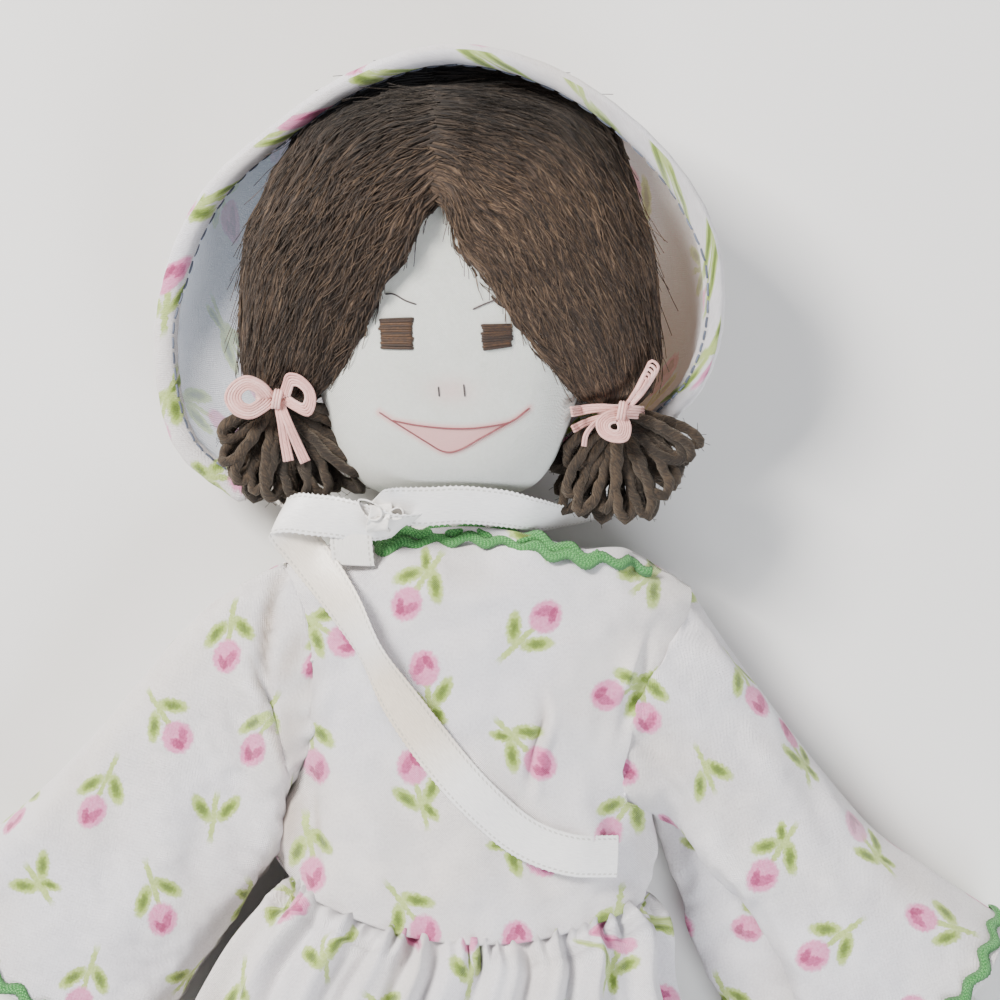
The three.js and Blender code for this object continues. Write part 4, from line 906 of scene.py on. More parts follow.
for side in SIDES:
    base = copy_of(f"hair_{side}", f"hair_base_{side}", hair_yarn)
    modify(base, "REMESH", mode="VOXEL", voxel_size=0.0016)
    modify(base, "SMOOTH", iterations=4)
    modify(base, "DISPLACE", strength=-0.0006, mid_level=0)
    apply_modifiers(base)
    shade_smooth(base.data)
    settle(base, "head", f"hair_{side}")
    shares = (np.arange(HAIRS) + dice.random(HAIRS)) / HAIRS * 1.1
    lines = np.array([hair_line(side, share, dice.uniform(-0.6, 0.4), dice.uniform(-0.4, 2.2))
                      for share in shares])
    thick = dice.uniform(0.26, 0.52, (HAIRS, 1))
    thick = thick * (1 + 0.3 * np.sin(np.linspace(0, 40, HAIR_STEPS + 1) + dice.random((HAIRS, 1)) * 6))
    hair = strands(f"hair_strands_{side}", lines, thick, hair_yarn, sides=5)
    wisps = []
    for k in range(WISPS):
        # a short brushed-out fibre that leaves its strand to one side and rises a little
        line, start = dice.integers(HAIRS), dice.integers(HAIR_STEPS - WISP_PLACES)
        fibre = lines[line, start:start + WISP_PLACES]
        run = unit(fibre[-1] - fibre[0])
        apart = np.linspace(0, 1, WISP_PLACES)[:, None] ** 1.3
        rise = np.sin(apart * math.pi * 0.8) * dice.uniform(0.35, 1.0) + 0.25
        aside = np.array([-run[1], run[0], 0]) * apart * dice.normal(0, 1.7)
        wisps.append(fibre + aside + (0, 0, 1) * rise)
    wisps = strands(f"hair_wisps_{side}", wisps, 0.1, hair_yarn, sides=3, first=400)
    for piece in (hair, wisps):
        settle(piece, "head", None)

# %% [markdown]
# Each pigtail is a bunch of plied yarn in loops that were never cut. A loop goes out from the
# tie, turns round and comes back beside itself. The loops lie in three layers and fan out as
# on the photograph.

# %% Pigtails
TIE = {"right": (277, 400), "left": (619, 409)}
TIE_HEIGHT = 30.6
LAYERS = (-4.2, 0.2, 4.4)
LOOP_STEPS = 40
FUZZ = 1500
LOOPS = {"right": [(-56, 17), (-42, 21), (-28, 24), (-14, 26), (0, 25), (14, 26), (28, 28), (42, 29),
                   (55, 28), (66, 23)],
         "left": [(-46, 21), (-34, 26), (-20, 28), (-8, 28), (6, 28), (18, 28), (32, 25), (46, 23),
                  (60, 23)]}
LOOP_SHAPE = [(0, 0.25), (0.3, 0.62), (0.66, 1), (0.9, 0.8), (1, 0), (0.9, -0.8), (0.66, -1), (0.3, -0.62),
              (0, -0.25)]


def yarn_loop(tie, angle, reach, width, roll, lift):
    # out and back, in a plane that is rolled about the loop's own direction
    a = math.radians(angle) + LEAN
    out = np.array([math.sin(a), -math.cos(a), 0])
    beside = np.array([math.cos(a), math.sin(a), 0]) * math.cos(roll) + np.array([0, 0, math.sin(roll)])
    places = [tie + out * (along * reach) + beside * (side * width / 2)
              + np.array([0, 0, lift * math.sin(along * math.pi * 0.62)]) for along, side in LOOP_SHAPE]
    return smooth_line(places, LOOP_STEPS)


for side in SIDES:
    tie = np.array([*seen_at(TIE[side]), TIE_HEIGHT])
    lines = []
    for layer, lift in enumerate(LAYERS):
        for angle, reach in LOOPS[side]:
            angle = angle + dice.normal(0, 4)
            reach = reach * dice.uniform(0.86, 1) * (1 - 0.05 * abs(layer - 1))
            width, roll = dice.uniform(4, 5.6), dice.uniform(-0.9, 0.9)
            lines.append(yarn_loop(tie, angle, reach, width, roll, lift))
    lines = np.array(lines)
    lines += np.sin(lines[:, :, [1, 2, 0]] * 1.3) * 0.22
    ply = 1 + 0.09 * np.sin(np.arange(LOOP_STEPS + 1) * 1.9)
    pigtail = strands(f"pigtail_yarn_{side}", lines, 1.24 * ply, plied_yarn, sides=10, first=20)
    settle(pigtail, f"pigtail_{side}", f"pigtail_{side}")
    fuzz = []
    for k in range(FUZZ):
        start = lines[dice.integers(len(lines)), dice.integers(3, LOOP_STEPS - 2)]
        out = unit(dice.normal(0, 1, 3))
        bend = unit(dice.normal(0, 1, 3))
        t = np.linspace(0, 1, 5)[:, None]
        fuzz.append(start + out * (1.0 + 1.3 * t) + bend * t * t * dice.uniform(0.4, 1.6))
    fuzz = strands(f"pigtail_fuzz_{side}", fuzz, 0.07, plied_yarn, sides=3, first=90)
    settle(fuzz, f"pigtail_{side}", None)

# %% [markdown]
# Six-stranded pink floss is wound round each pigtail and tied in a bow. Its loops and ends are
# flat bands of threads side by side, so each band is several thin strands, one inside the
# other.

# %% Floss bows
KNOT = {"right": (277, 399), "left": (622, 411)}
KNOT_HEIGHT = TIE_HEIGHT + 8.2
# the places of each band, their rises over the knot, its threads and how far apart they lie, and
# for a loop the place inside it
FLOSS = {
    "right": [([(277, 399), (263, 383), (246, 377), (231, 386), (226, 399), (234, 413), (250, 418),
                (266, 410), (277, 400)], [0, 2, 3, 3, 2.5, 2, 1.4, 1, 0], 6, 0.12, (250, 397)),
              ([(279, 398), (284, 384), (288, 375), (299, 376), (312, 388), (315, 402), (309, 415),
                (294, 409), (280, 400)], [0, 2, 2.6, 3, 3, 2.4, 1.8, 1, 0], 5, 0.13, (298, 395)),
              ([(277, 402), (281, 420), (284, 440), (288, 461)], [0, 0.4, -1, -1.6], 4, 0.62),
              ([(280, 402), (287, 420), (296, 442), (305, 462)], [0, 0.8, -0.4, -1.2], 4, 0.62)],
    "left": [([(622, 410), (634, 392), (645, 371), (651, 361), (658, 366), (652, 380), (640, 397),
               (626, 411)], [0, 1.6, 2, 2, 2, 1.6, 1, 0], 5, 0.17, (641, 386)),
             ([(620, 410), (606, 413), (597, 422), (600, 434), (612, 441), (626, 440), (630, 428),
               (625, 412)], [0, 1.6, 2.4, 2.6, 2.4, 2, 1.2, 0], 6, 0.14, (614, 427)),
             ([(618, 409), (604, 408), (588, 409), (571, 412)], [0, 0.6, 0, -1], 4, 0.6),
             ([(617, 413), (602, 417), (587, 422), (573, 429)], [-0.6, -0.4, -1, -1.6], 3, 0.6),
             ([(600, 419), (592, 426), (586, 435), (584, 446)], [-0.6, 0, 0, -0.8], 2, 0.6)]}


def floss_band(places, rises, many, spread, inwards=None):
    # threads side by side along a line, or each one further inside a loop than the last
    heights = KNOT_HEIGHT + np.array(rises)
    line = smooth_line(np.column_stack([seen_at(places), heights]), LOOP_STEPS)
    for dx, dy in ((0, 0), (3, 0), (-3, 0), (0, 3), (0, -3)):
        line[:, 2] = np.maximum(line[:, 2], lay_on(hair_top, line[:, :2] + (dx, dy), 0) + 1.0)
    if inwards is not None:
        middle = np.append(seen_at(inwards), np.mean(heights))
        return [middle + (line - middle) * (1 - k * spread) + (0, 0, 0.12 * k) for k in range(many)]
    side = unit(np.cross(unit(np.gradient(line, axis=0)), (0, 0, 1.0)))
    fan = np.linspace(0.6, 1, LOOP_STEPS + 1)[:, None]
    return [line + side * fan * (k - (many - 1) / 2) * spread + (0, 0, 0.2 * (k % 2)) for k in range(many)]


def turns_round(x, y, reach, many):
    # the floss that binds the pigtail
    rings = []
    a = np.linspace(0, math.tau, LOOP_STEPS + 1)
    for k in range(many):
        step = (k - (many - 1) / 2) * 0.62
        rings.append(np.stack([x + reach * np.cos(a) - step * 0.05, y + step + 0 * a,
                               TIE_HEIGHT + reach * np.sin(a)], 1))
    return rings


a = np.linspace(0, math.tau * 1.6, LOOP_STEPS + 1)
for side in SIDES:
    x, y = seen_at(KNOT[side])
    lines = [line for band in FLOSS[side] for line in floss_band(*band)] + turns_round(x, y, 5.4, 5)
    for k in (-1, 0, 1):
        lines.append(np.stack([x + k * 0.7 + 0.3 * np.cos(a), y + 2.1 * np.cos(a),
                               KNOT_HEIGHT + 0.9 + 1.3 * np.sin(a)], 1))
    bow = strands(f"floss_bow_threads_{side}", lines, 0.36, pink_floss, first=90)
    settle(bow, f"pigtail_{side}", f"floss_bow_{side}")

# %% [markdown]
# Cloth that is worn is never smooth. Soft crumples run all over a sheet as a few warped waves,
# and the folds that the photograph shows are pressed in along their own lines, a ridge or a
# valley that fades at both ends.

# %% Folds in cloth
COTTON = 0.7
WAVES = 6
FOLD_DEPTH = 2.2
FOLD_WIDTH = 0.85


def crumple(rows, height, pitch, closed=False, layout=None):
    u, v = np.moveaxis(cloth_map(rows) if layout is None else layout[:, :rows.shape[1]], -1, 0)
    lift = np.zeros(u.shape)
    for k in range(WAVES):
        turn, length = dice.random() * math.tau, pitch * dice.uniform(0.7, 1.7)
        start = dice.random() * math.tau
        along = (u * math.cos(turn) + v * math.sin(turn)) / length
        beside = (v * math.cos(turn) - u * math.sin(turn)) / length
        lift += np.sin(math.tau * along + start + 1.6 * np.sin(beside * 2.3 + k)) / WAVES**0.5
    if closed:
        # the two ends of a ring meet, so the waves die out there
        i = np.arange(u.shape[1]) / u.shape[1]
        lift *= np.clip(np.minimum(i, 1 - i) * 12, 0, 1)
    return rows + normals_of(rows, closed) * (lift * height)[..., None]


def nearness(rows, places, width, blunt):
    # 1 on a line of the photograph, fading away from it and towards both its ends
    line = smooth_line(seen_at(places), 50)
    gap = np.linalg.norm(rows[:, :, None, :2] - line, axis=3)
    ends = np.sin(math.pi * np.clip(gap.argmin(2) / 50, blunt, 1 - blunt)) ** 0.6
    return ends * np.exp(-((gap.min(2) / width) ** 2))


def creased(rows, folds, closed=False):
    for places, depth, width in folds:
        normals = normals_of(rows, closed)
        lift = depth * FOLD_DEPTH * nearness(rows, places, width * FOLD_WIDTH, 0.03)
        rows = rows + normals * (lift * np.clip(normals[..., 2] * 2, 0, 1))[..., None]
    return rows


def shaded(rows, strokes):
    # how deep in a fold's shade each place of the cloth lies
    marks = [strength * nearness(rows, places, width, 0.06) for places, strength, width in strokes]
    return np.max(marks, axis=0)


def cut_size(rows, closed):
    # how wide and long the cloth was cut, and its area, in metres
    ring = ringed(rows) if closed else rows
    side, fall = np.diff(ring, axis=1)[:-1], np.diff(ring, axis=0)[:, :-1]
    area = np.linalg.norm(np.cross(side, fall), axis=2).sum()
    width = across_cloth(ring)[:, -1].max()
    length = across_cloth(ring.swapaxes(0, 1))[:, -1].max()
    return (width * MM, length * MM), area * MM * MM


def say_sheet(piece, rows, closed):
    flat, area = cut_size(rows, closed)
    print(piece.name, "cut", [round(size, 3) for size in flat], "area", round(area, 5))


def sewn(name, rows, finish, thickness, body, node, slot, held, rests_on, closed=False, **more):
    piece = sheet_mesh(name, rows, finish, thickness, closed=closed, **more)
    settle(piece, body, node)
    say_sheet(piece, rows, closed)
    return piece


# %% [markdown]
# The bodice has one front panel and two back panels that meet beside the middle. Seen from
# the front, each layer is a dome over the trunk: full over the chest, rounded in to the shoulder
# seam, and cut out for the neck and the arms. A fold is a line of the photograph with its depth
# and width, and a shade is a line with its strength and width.

# %% Bodice
BODICE_DOWN = [0, 0.08, 0.16, 0.3, 0.46, 0.6, 0.684, 1]
BODICE_EDGE = [1, 0.93, 0.875, 0.815, 0.79, 0.81, 0.866, 0.866]
FRONT_EDGE_LEFT = [1.02, 1.02, 0.975, 0.865, 0.765, 0.72, 0.75, 0.866]
BODICE_DOME = [1.24, 1.23, 1.21, 1.19, 1.1, 1.02, 1, 1]
UNDERARM = 0.684
HALF_WAIST = 42
TRUNK_AXIS = 19.5
WAIST_Y = -36
NECK_RISE = 4.2
WAIST_DROP = {"front": 11, "back": 2}
BACK_SEAM = (7.85, 8.15)
BODICE_STEPS = 130
BODICE_MIDDLE = BODICE_STEPS // 2
DOWNWARDS = np.array([0, -1.0, 0])


def bodice_point(front, across, down):
    across, down = np.broadcast_arrays(np.asarray(across, float), np.asarray(down, float))
    square, sign, drop = (2.5, 1, WAIST_DROP["front"]) if front else (5, -1, WAIST_DROP["back"])
    dome = np.interp(down, BODICE_DOWN, BODICE_DOME) * HALF_WAIST
    edge = np.interp(down, BODICE_DOWN, BODICE_EDGE)
    if front:
        edge = np.where(across > 0, np.interp(down, BODICE_DOWN, FRONT_EDGE_LEFT), edge)
    edge = np.minimum(edge * 48.5, dome)
    edge = edge + (dome - edge) * np.clip((down - UNDERARM) / 0.035, 0, 1)
    x = edge * np.sin(across * math.pi / 2)
    neck = np.maximum(1 - ((x - 5) / 30) ** 2, 0)
    top = 47 - 7 * np.maximum((abs(x) - 15) / 33.5, 0) ** 3 + 1.4 * np.exp(-((x - 33) / 9) ** 2)
    rise = np.maximum(1 - ((x + 2) / 27) ** 2, 0) ** 1.5
    start = top + NECK_RISE * rise * (1 if front else 0.8)
    y = start + (WAIST_Y - drop * (1 - np.minimum((x / HALF_WAIST) ** 2, 1)) - start) * down
    section = np.maximum(1 - abs(x / dome) ** square, 0) ** (1 / square)
    full = np.sqrt(1 - (1 - np.clip((top - y) / 14, 0, 1)) ** 2)
    z = (TRUNK_AXIS + (1 - full) * 2.3 * neck**0.5
         + sign * (0.6 + full * section * 20 + (1 - full) * neck**0.5 * 13))
    # the cloth blouses out at both sides of the waist
    low = np.clip((down - 0.66) / 0.34, 0, 1) ** 1.3
    blouse = np.clip((abs(across) - 0.7) / 0.3, 0, 1) ** 2 * np.sin(math.pi * low)
    return np.stack([x + np.where(x < 0, -6.2, 2.4) * blouse, y, z], -1)


CHEST_FOLDS = [
    ([(541, 690), (545, 717), (535, 750), (527, 800)], -0.9, 1.6),
    ([(548, 690), (552, 720), (543, 752), (536, 800)], 0.6, 1.8),
    ([(646, 640), (634, 667), (619, 700)], 0.8, 2.2), ([(653, 630), (638, 690), (619, 742)], -0.7, 1.8),
    ([(620, 804), (653, 855), (636, 891)], 0.8, 5), ([(306, 771), (312, 820), (316, 868)], -0.8, 2),
    ([(302, 636), (286, 668), (272, 698)], -0.9, 3.5), ([(330, 640), (318, 700), (322, 760)], 0.7, 5),
    ([(360, 800), (380, 850), (375, 920)], 0.6, 4), ([(400, 800), (425, 860), (430, 930)], -0.6, 4),
    ([(470, 700), (478, 800), (470, 900)], 0.5, 6), ([(520, 840), (545, 880), (560, 930)], -0.6, 4),
    ([(575, 760), (590, 830), (592, 900)], 0.6, 4), ([(420, 590), (470, 600), (540, 592)], 0.4, 4)]
CHEST_SHADES = [
    ([(294, 785), (284, 825), (280, 866)], 0.75, 5), ([(312, 790), (316, 830), (319, 872)], 0.5, 1),
    ([(310, 610), (303, 680), (302, 760)], 0.4, 4.5), ([(546, 690), (542, 730), (533, 780)], 0.3, 2.2),
    ([(632, 815), (648, 850), (650, 885)], 0.3, 4), ([(400, 575), (450, 570), (500, 578)], 0.15, 4)]
down = np.linspace(0, 1, BODICE_STEPS + 1)[:, None]
bodice_rows = bodice_point(True, np.linspace(1, -1, 171), down)
chest = fall_map(bodice_rows, DOWNWARDS)
breadth = -bodice_rows[..., 0]
widest = breadth[BODICE_MIDDLE]
chest[..., 0] = np.interp(breadth, widest, chest[BODICE_MIDDLE, :, 0])
chest[..., 0] += breadth - np.clip(breadth, widest.min(), widest.max())
bodice_rows = crumple(bodice_rows, 0.5, 19, layout=chest)
bodice_rows = crumple(bodice_rows, 0.16, 6, layout=chest)
bodice_rows = creased(bodice_rows, CHEST_FOLDS)
bodice_front = sewn("bodice_front_cotton", bodice_rows, dress_print, COTTON, "torso", "bodice_front",
                    "dress_print", "stretched", ["torso"], layout=chest,
                    marks=shaded(bodice_rows, CHEST_SHADES))
seams = [2 / math.pi * math.asin(x / HALF_WAIST) for x in BACK_SEAM]
for side, first, last in (("right", -1, seams[0]), ("left", seams[1], 1)):
    rows = bodice_point(False, np.linspace(first, last, 61), down)
    layout = fall_map(rows, DOWNWARDS)
    rows = crumple(rows, 0.2, 17, layout=layout)
    rows[..., 2] = np.maximum(rows[..., 2], 0.05)
    sewn(f"bodice_back_cotton_{side}", rows, dress_print, COTTON, "torso", f"bodice_back_{side}",
         "dress_print", "stretched", ["torso"], layout=layout)
chest_top = surface(bodice_front)

# %% [markdown]
# Each sleeve is a bell. Its first ring is the armhole seam, and then the tube widens, lies over
# on the surface and sags towards its hem. The doll's left sleeve has a tuck folded underneath.
# The rings between are blended, gathered at the armhole and rippled at the hem.

# %% Sleeves
SLEEVE_WIDTH, SLEEVE_HEIGHT, SLEEVE_LENGTH = 62, 30, 100
# shares down the outer and inner edge, the sag, the outer and inner edge, the height and the tuck
SLEEVES = {
    "left": [[0.06, 0.33, 0, 0.213, -0.42, 1, 0.15], [0.27, 0.46, 0.02, 0.21, -0.444, 0.95, 0.55],
             [0.46, 0.55, 0.06, 0.213, -0.465, 0.9, 0.85], [0.65, 0.66, 0.13, 0.234, -0.5, 0.83, 0.95],
             [0.82, 0.79, 0.17, 0.32, -0.56, 0.78, 0.9], [1.02, 0.97, 0.11, 0.43, -0.59, 0.74, 0.9]],
    "right": [[0.1, 0.33, 0, 0.34, -0.35, 1, 0], [0.27, 0.46, 0.02, 0.375, -0.44, 0.94, 0],
              [0.46, 0.58, 0.06, 0.39, -0.455, 0.88, 0], [0.67, 0.68, 0.13, 0.43, -0.46, 0.82, 0],
              [0.86, 0.81, 0.17, 0.5, -0.48, 0.78, 0], [1.02, 0.98, 0.1, 0.57, -0.5, 0.74, 0]]}
SLEEVE_FOLDS = {
    "right": [([(286, 570), (270, 596), (264, 645), (266, 700)], -1.5, 2.2),
              ([(254, 668), (264, 700), (273, 735), (284, 775)], -1.1, 1.1),
              ([(270, 560), (225, 600), (185, 640)], 0.9, 4), ([(235, 667), (262, 719), (281, 778)], 1.2, 3),
              ([(228, 690), (240, 760), (225, 830)], -0.9, 4), ([(150, 700), (170, 790), (150, 900)], 0.7, 6),
              ([(200, 700), (205, 800), (180, 920)], -0.7, 5), ([(280, 780), (268, 840), (240, 900)], 1.2, 4),
              ([(110, 760), (105, 850), (80, 930)], -0.7, 5)],
    "left": [([(640, 740), (690, 800), (728, 877), (756, 930)], 0.9, 4),
             ([(662, 640), (690, 720), (740, 800)], 0.6, 6), ([(640, 700), (660, 770), (700, 830)], -0.6, 4),
             ([(756, 700), (810, 790), (860, 880)], -0.6, 5),
             ([(700, 640), (760, 740), (810, 850), (840, 930)], 0.6, 6),
             ([(780, 830), (820, 900), (850, 950)], -0.8, 5)]}
SLEEVE_SHADES = {
    "right": [([(286, 570), (271, 592), (265, 620), (262, 655), (266, 695)], 0.85, 1.6),
              ([(303, 625), (290, 655), (274, 690)], 0.5, 2.6),
              ([(249, 660), (260, 694), (269, 728), (281, 776)], 0.9, 0.8),
              ([(292, 700), (286, 740), (290, 780)], 0.45, 4)],
    "left": [([(706, 590), (681, 620), (656, 660), (640, 685), (626, 729), (618, 769), (616, 792)],
              0.45, 0.6), ([(640, 700), (660, 745), (700, 790)], 0.3, 8)]}
ARMHOLE_SHARES = [0.02, 0.1, 0.22, 0.36, 0.5, 0.62]
RING = 160
SLEEVE_STEPS = 120
SLEEVE_BRAID_ROW = 117


def sleeve_section(outer, inner, height, tuck):
    middle, wide = HEM_FLOOR + height / 2, outer - inner
    level = [HEM_FLOOR + share * height for share in (0, 0.14, 0.22, 0.32, 0.44, 0.62, 0.86, 0.88, 0.98, 1)]
    return [(outer, middle), (outer - 0.07 * wide, level[7]), (outer - 0.3 * wide, level[9]),
            (outer - 0.7 * wide, level[8]), (inner + 0.08 * wide + 7 * tuck, level[6]),
            (inner + 9 * tuck, level[5]), (inner + 13 * tuck, level[4]), (inner + 3 * tuck, level[3]),
            (inner - 7 * tuck, level[1]), (inner + 0.12 * wide - 3 * tuck, level[0]),
            (outer - 0.5 * wide, level[0]), (outer - 0.12 * wide, level[0]),
            (outer - 0.03 * wide, level[2])]


def down_arm(side):
    return np.array([math.sin(ARM_ANGLE[side]), -math.cos(ARM_ANGLE[side]), 0])


def sleeve_ring(side, row):
    sign, along = SIDES[side], down_arm(side)
    away = sign * np.array([-along[1], along[0], 0])
    outer_down, inner_down, sag, outer, inner, height, tuck = row
    outer, inner = outer * SLEEVE_WIDTH, inner * SLEEVE_WIDTH
    places = []
    for across, up in sleeve_section(outer, inner, height * SLEEVE_HEIGHT, tuck):
        part = min((outer - across) / (outer - inner), 1)
        reach = outer_down + (inner_down - outer_down) * part + sag * 4 * part * (1 - part)
        places.append(SHOULDER * (sign, 1, 0) + along * reach * SLEEVE_LENGTH + away * across + (0, 0, up))
    return smooth_line(places, RING, closed=True)


def armhole_ring(sign):
    # down the front edge of the bodice, under the arm, and up the back edge
    ends = [bodice_point(True, sign, 0), bodice_point(False, sign, 0)]
    front = [bodice_point(True, sign, share) for share in ARMHOLE_SHARES]
    back = [bodice_point(False, sign, share) for share in ARMHOLE_SHARES]
    steps = (0, 0.018, 0.035) if sign > 0 else (0,)
    under = [bodice_point(True, sign, UNDERARM + step) for step in steps]
    places = [(ends[0] + ends[1]) / 2, *front, *under, *back[::-1]]
    return smooth_line(np.array(places) - (sign * 0.5, 0, 0), RING, closed=True)


sleeve_rows = {}
t = np.linspace(0, 1, SLEEVE_STEPS + 1)[:, None]
around = np.linspace(0, math.tau, RING, endpoint=False)
for side, sign in SIDES.items():
    coarse = np.array([armhole_ring(sign)] + [sleeve_ring(side, row) for row in SLEEVES[side]])
    if sign < 0:
        coarse = coarse[:, ::-1]
    rows = smooth_line(coarse, SLEEVE_STEPS, even=False)
    layout = fall_map(ringed(rows), down_arm(side), RING // 5 if sign > 0 else RING - RING // 5)
    gathers = np.sin(around * 17 + 1.4 * np.sin(around * 3))
    gathers = gathers * np.exp(-t / 0.07) * np.clip(t / 0.012, 0, 1) * 0.75
    flutes = np.sin(around * 7 + 1.2 * np.sin(around * 2) + sign + t * 1.5)
    flutes = flutes * np.clip((t - 0.35) / 0.65, 0, 1) ** 1.4
    room = np.clip((rows[..., 2] - 4) / 6, 0, 1)
    rows = rows + normals_of(rows, True) * ((gathers + flutes * 0.9) * room)[..., None]
    rows = crumple(rows, 0.6, 20, closed=True, layout=layout)
    rows = crumple(rows, 0.18, 7, closed=True, layout=layout)
    rows = creased(rows, SLEEVE_FOLDS[side], closed=True)
    rows[..., 2] = np.maximum(rows[..., 2], HEM_FLOOR)
    sleeve_rows[side] = rows
    sewn(f"sleeve_cotton_{side}", rows, dress_print, COTTON, None, f"sleeve_{side}", "dress_print",
         "gathered", [f"arm_{side}", f"arm_muslin_{side}"], closed=True, layout=layout,
         marks=shaded(rows, SLEEVE_SHADES[side]))

# %% [markdown]
# The skirt is a gathered tube. Its rings go from the waist seam to the hem, wider and wider,
# flat where they rest on the surface. Deep folds run down its whole length, and fine gathers
# fill the first few centimetres under the seam.

# %% Skirt
# shares of the way down, of the width and height, and of the lean to the doll's right
SKIRT = [[0.035, 0.44, 0.96, 0.1], [0.1, 0.49, 1, 0.8], [0.26, 0.62, 1, 1], [0.5, 0.8, 0.98, 1],
         [0.78, 0.94, 0.94, 1], [1, 1, 0.9, 1]]
SKIRT_RING = 440
SKIRT_STEPS = 600
SKIRT_ROWS = 85
SKIRT_BRAID_ROW = 80
SKIRT_LENGTH, SKIRT_HEIGHT, SKIRT_LEAN = 195.5, 44, 5
HALF_HEM = 107


def oval(half_width, bottom, top, front, back, count):
    a = np.linspace(0, math.tau, 48, endpoint=False)
    power = 2 / np.where(np.sin(a) > 0, front, back)
    x = np.sign(np.cos(a)) * abs(np.cos(a)) ** power * half_width
    z = (top + bottom) / 2 + np.sign(np.sin(a)) * abs(np.sin(a)) ** power * (top - bottom) / 2
    return smooth_line(np.column_stack([x, 0 * x, z]), count, closed=True)


def skirt_ring(row):
    down, width, height, lean = row
    ring = oval(width * HALF_HEM, HEM_FLOOR, height * SKIRT_HEIGHT, 2.5, 5, SKIRT_RING)
    across = np.minimum(abs(ring[:, 0]) / HALF_WAIST, 1)
    drop = np.where(ring[:, 2] > TRUNK_AXIS, WAIST_DROP["front"], WAIST_DROP["back"])
    ring[:, 1] = WAIST_Y - drop * (1 - across**2) * (1 - down) - down * SKIRT_LENGTH
    ring[:, 0] -= lean * SKIRT_LEAN
    return ring


waist = np.concatenate([bodice_point(True, np.linspace(1, -1, 20, endpoint=False), 1),
                        bodice_point(False, np.linspace(-1, 1, 20, endpoint=False), 1)])
coarse = np.array([smooth_line(waist + (0, 1.5, 0), SKIRT_RING, closed=True)]
                  + [skirt_ring(row) for row in SKIRT])
coarse[0, :, 0] *= 0.975
coarse[0, :, 2] = TRUNK_AXIS + (coarse[0, :, 2] - TRUNK_AXIS) * 0.95
stops = np.linspace(0, 1, SKIRT_ROWS) ** 1.35
fine = smooth_line(coarse, SKIRT_STEPS, even=False)
skirt_rows = fine[np.round(stops * SKIRT_STEPS).astype(int)]
around = np.linspace(0, math.tau, SKIRT_RING, endpoint=False)
t = stops[:, None]
folds = np.sin(around * 22 + 0.9 * np.sin(around * 3 + 1) + 0.8 * np.sin(around * 7 + t * 1.2) + t * 0.7)
folds += 0.35 * np.sin(around * 44 + 1.1 * np.sin(around * 5 + 2) + t)
gathers = np.sin(around * 57 + 2.2 * np.sin(around * 9) + 1.2 * np.sin(around * 4 + t * 14))
gathers = gathers * (1 + 0.5 * np.sin(around * 13 + 2))
room = np.clip((skirt_rows[..., 2] - HEM_FLOOR) / 6, 0, 1)
swing = folds * 2.1 * np.clip(t / 0.13, 0, 1) ** 0.7 + gathers * 1.05 * np.exp(-((t - 0.05) / 0.1) ** 2)
skirt_rows = skirt_rows + normals_of(skirt_rows, True) * (swing * room)[..., None]
layout = fall_map(ringed(skirt_rows), DOWNWARDS, SKIRT_RING // 4)
skirt_rows = crumple(skirt_rows, 0.4, 26, closed=True, layout=layout)
skirt_rows[..., 2] = np.maximum(skirt_rows[..., 2], HEM_FLOOR)
skirt = sewn("skirt_cotton", skirt_rows, dress_print, COTTON, None, "skirt", "dress_print",
             "gathered", ["torso", "leg_right", "leg_left"], closed=True, layout=layout)

# %% [markdown]
# Rickrack is a narrow green braid that zigzags. It is stitched round the neck, round both
# sleeves and round the skirt. A band swings from side to side along the seam line, arched across
# its width, and stands just clear of the cloth.

# %% Rickrack
BRAID_PITCH = 8


def rickrack(name, line, outward, body, node, closed=True, lift=0.35, start=0.0):
    ring = np.concatenate([line, line[:1]]) if closed else line
    walls = np.concatenate([outward, outward[:1]]) if closed else outward
    run = run_along(ring)
    waves = round(run[-1] / BRAID_PITCH) if closed else run[-1] / BRAID_PITCH
    stops = np.linspace(0, run[-1], round(waves * 20) + 1)
    line = at_stops(stops, run, ring)
    outward = unit(at_stops(stops, run, walls))
    side = unit(np.cross(outward, np.gradient(line, axis=0)))
    phase = stops / run[-1] * waves * math.tau + start
    swing = 0.95 * np.sin(phase)[:, None]
    ribs = 0.14 * np.sin(phase * 9)[:, None]
    rows = np.array([line + side * (swing + part * (1.35 + ribs * abs(part)))
                     + outward * (lift + 0.55 * (1 - part * part)) for part in (1, 0.6, 0.2, -0.2, -0.6, -1)])
    rows = rows[:, :-1] if closed else rows
    return settle(sheet_mesh(name, rows, braid, 0.4, closed=closed), body, node)


for side, sign in SIDES.items():
    rows, walls = sleeve_rows[side], normals_of(sleeve_rows[side], True)
    trim = rickrack(f"sleeve_braid_{side}", rows[SLEEVE_BRAID_ROW], walls[SLEEVE_BRAID_ROW], None,
                    f"sleeve_rickrack_{side}")
    for piece in (trim, bpy.data.objects[f"sleeve_cotton_{side}"]):
        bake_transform(piece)
walls = normals_of(skirt_rows, True)
trim = rickrack("skirt_braid", skirt_rows[SKIRT_BRAID_ROW], walls[SKIRT_BRAID_ROW], None, "skirt_rickrack")
for piece in (trim, skirt):
    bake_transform(piece)

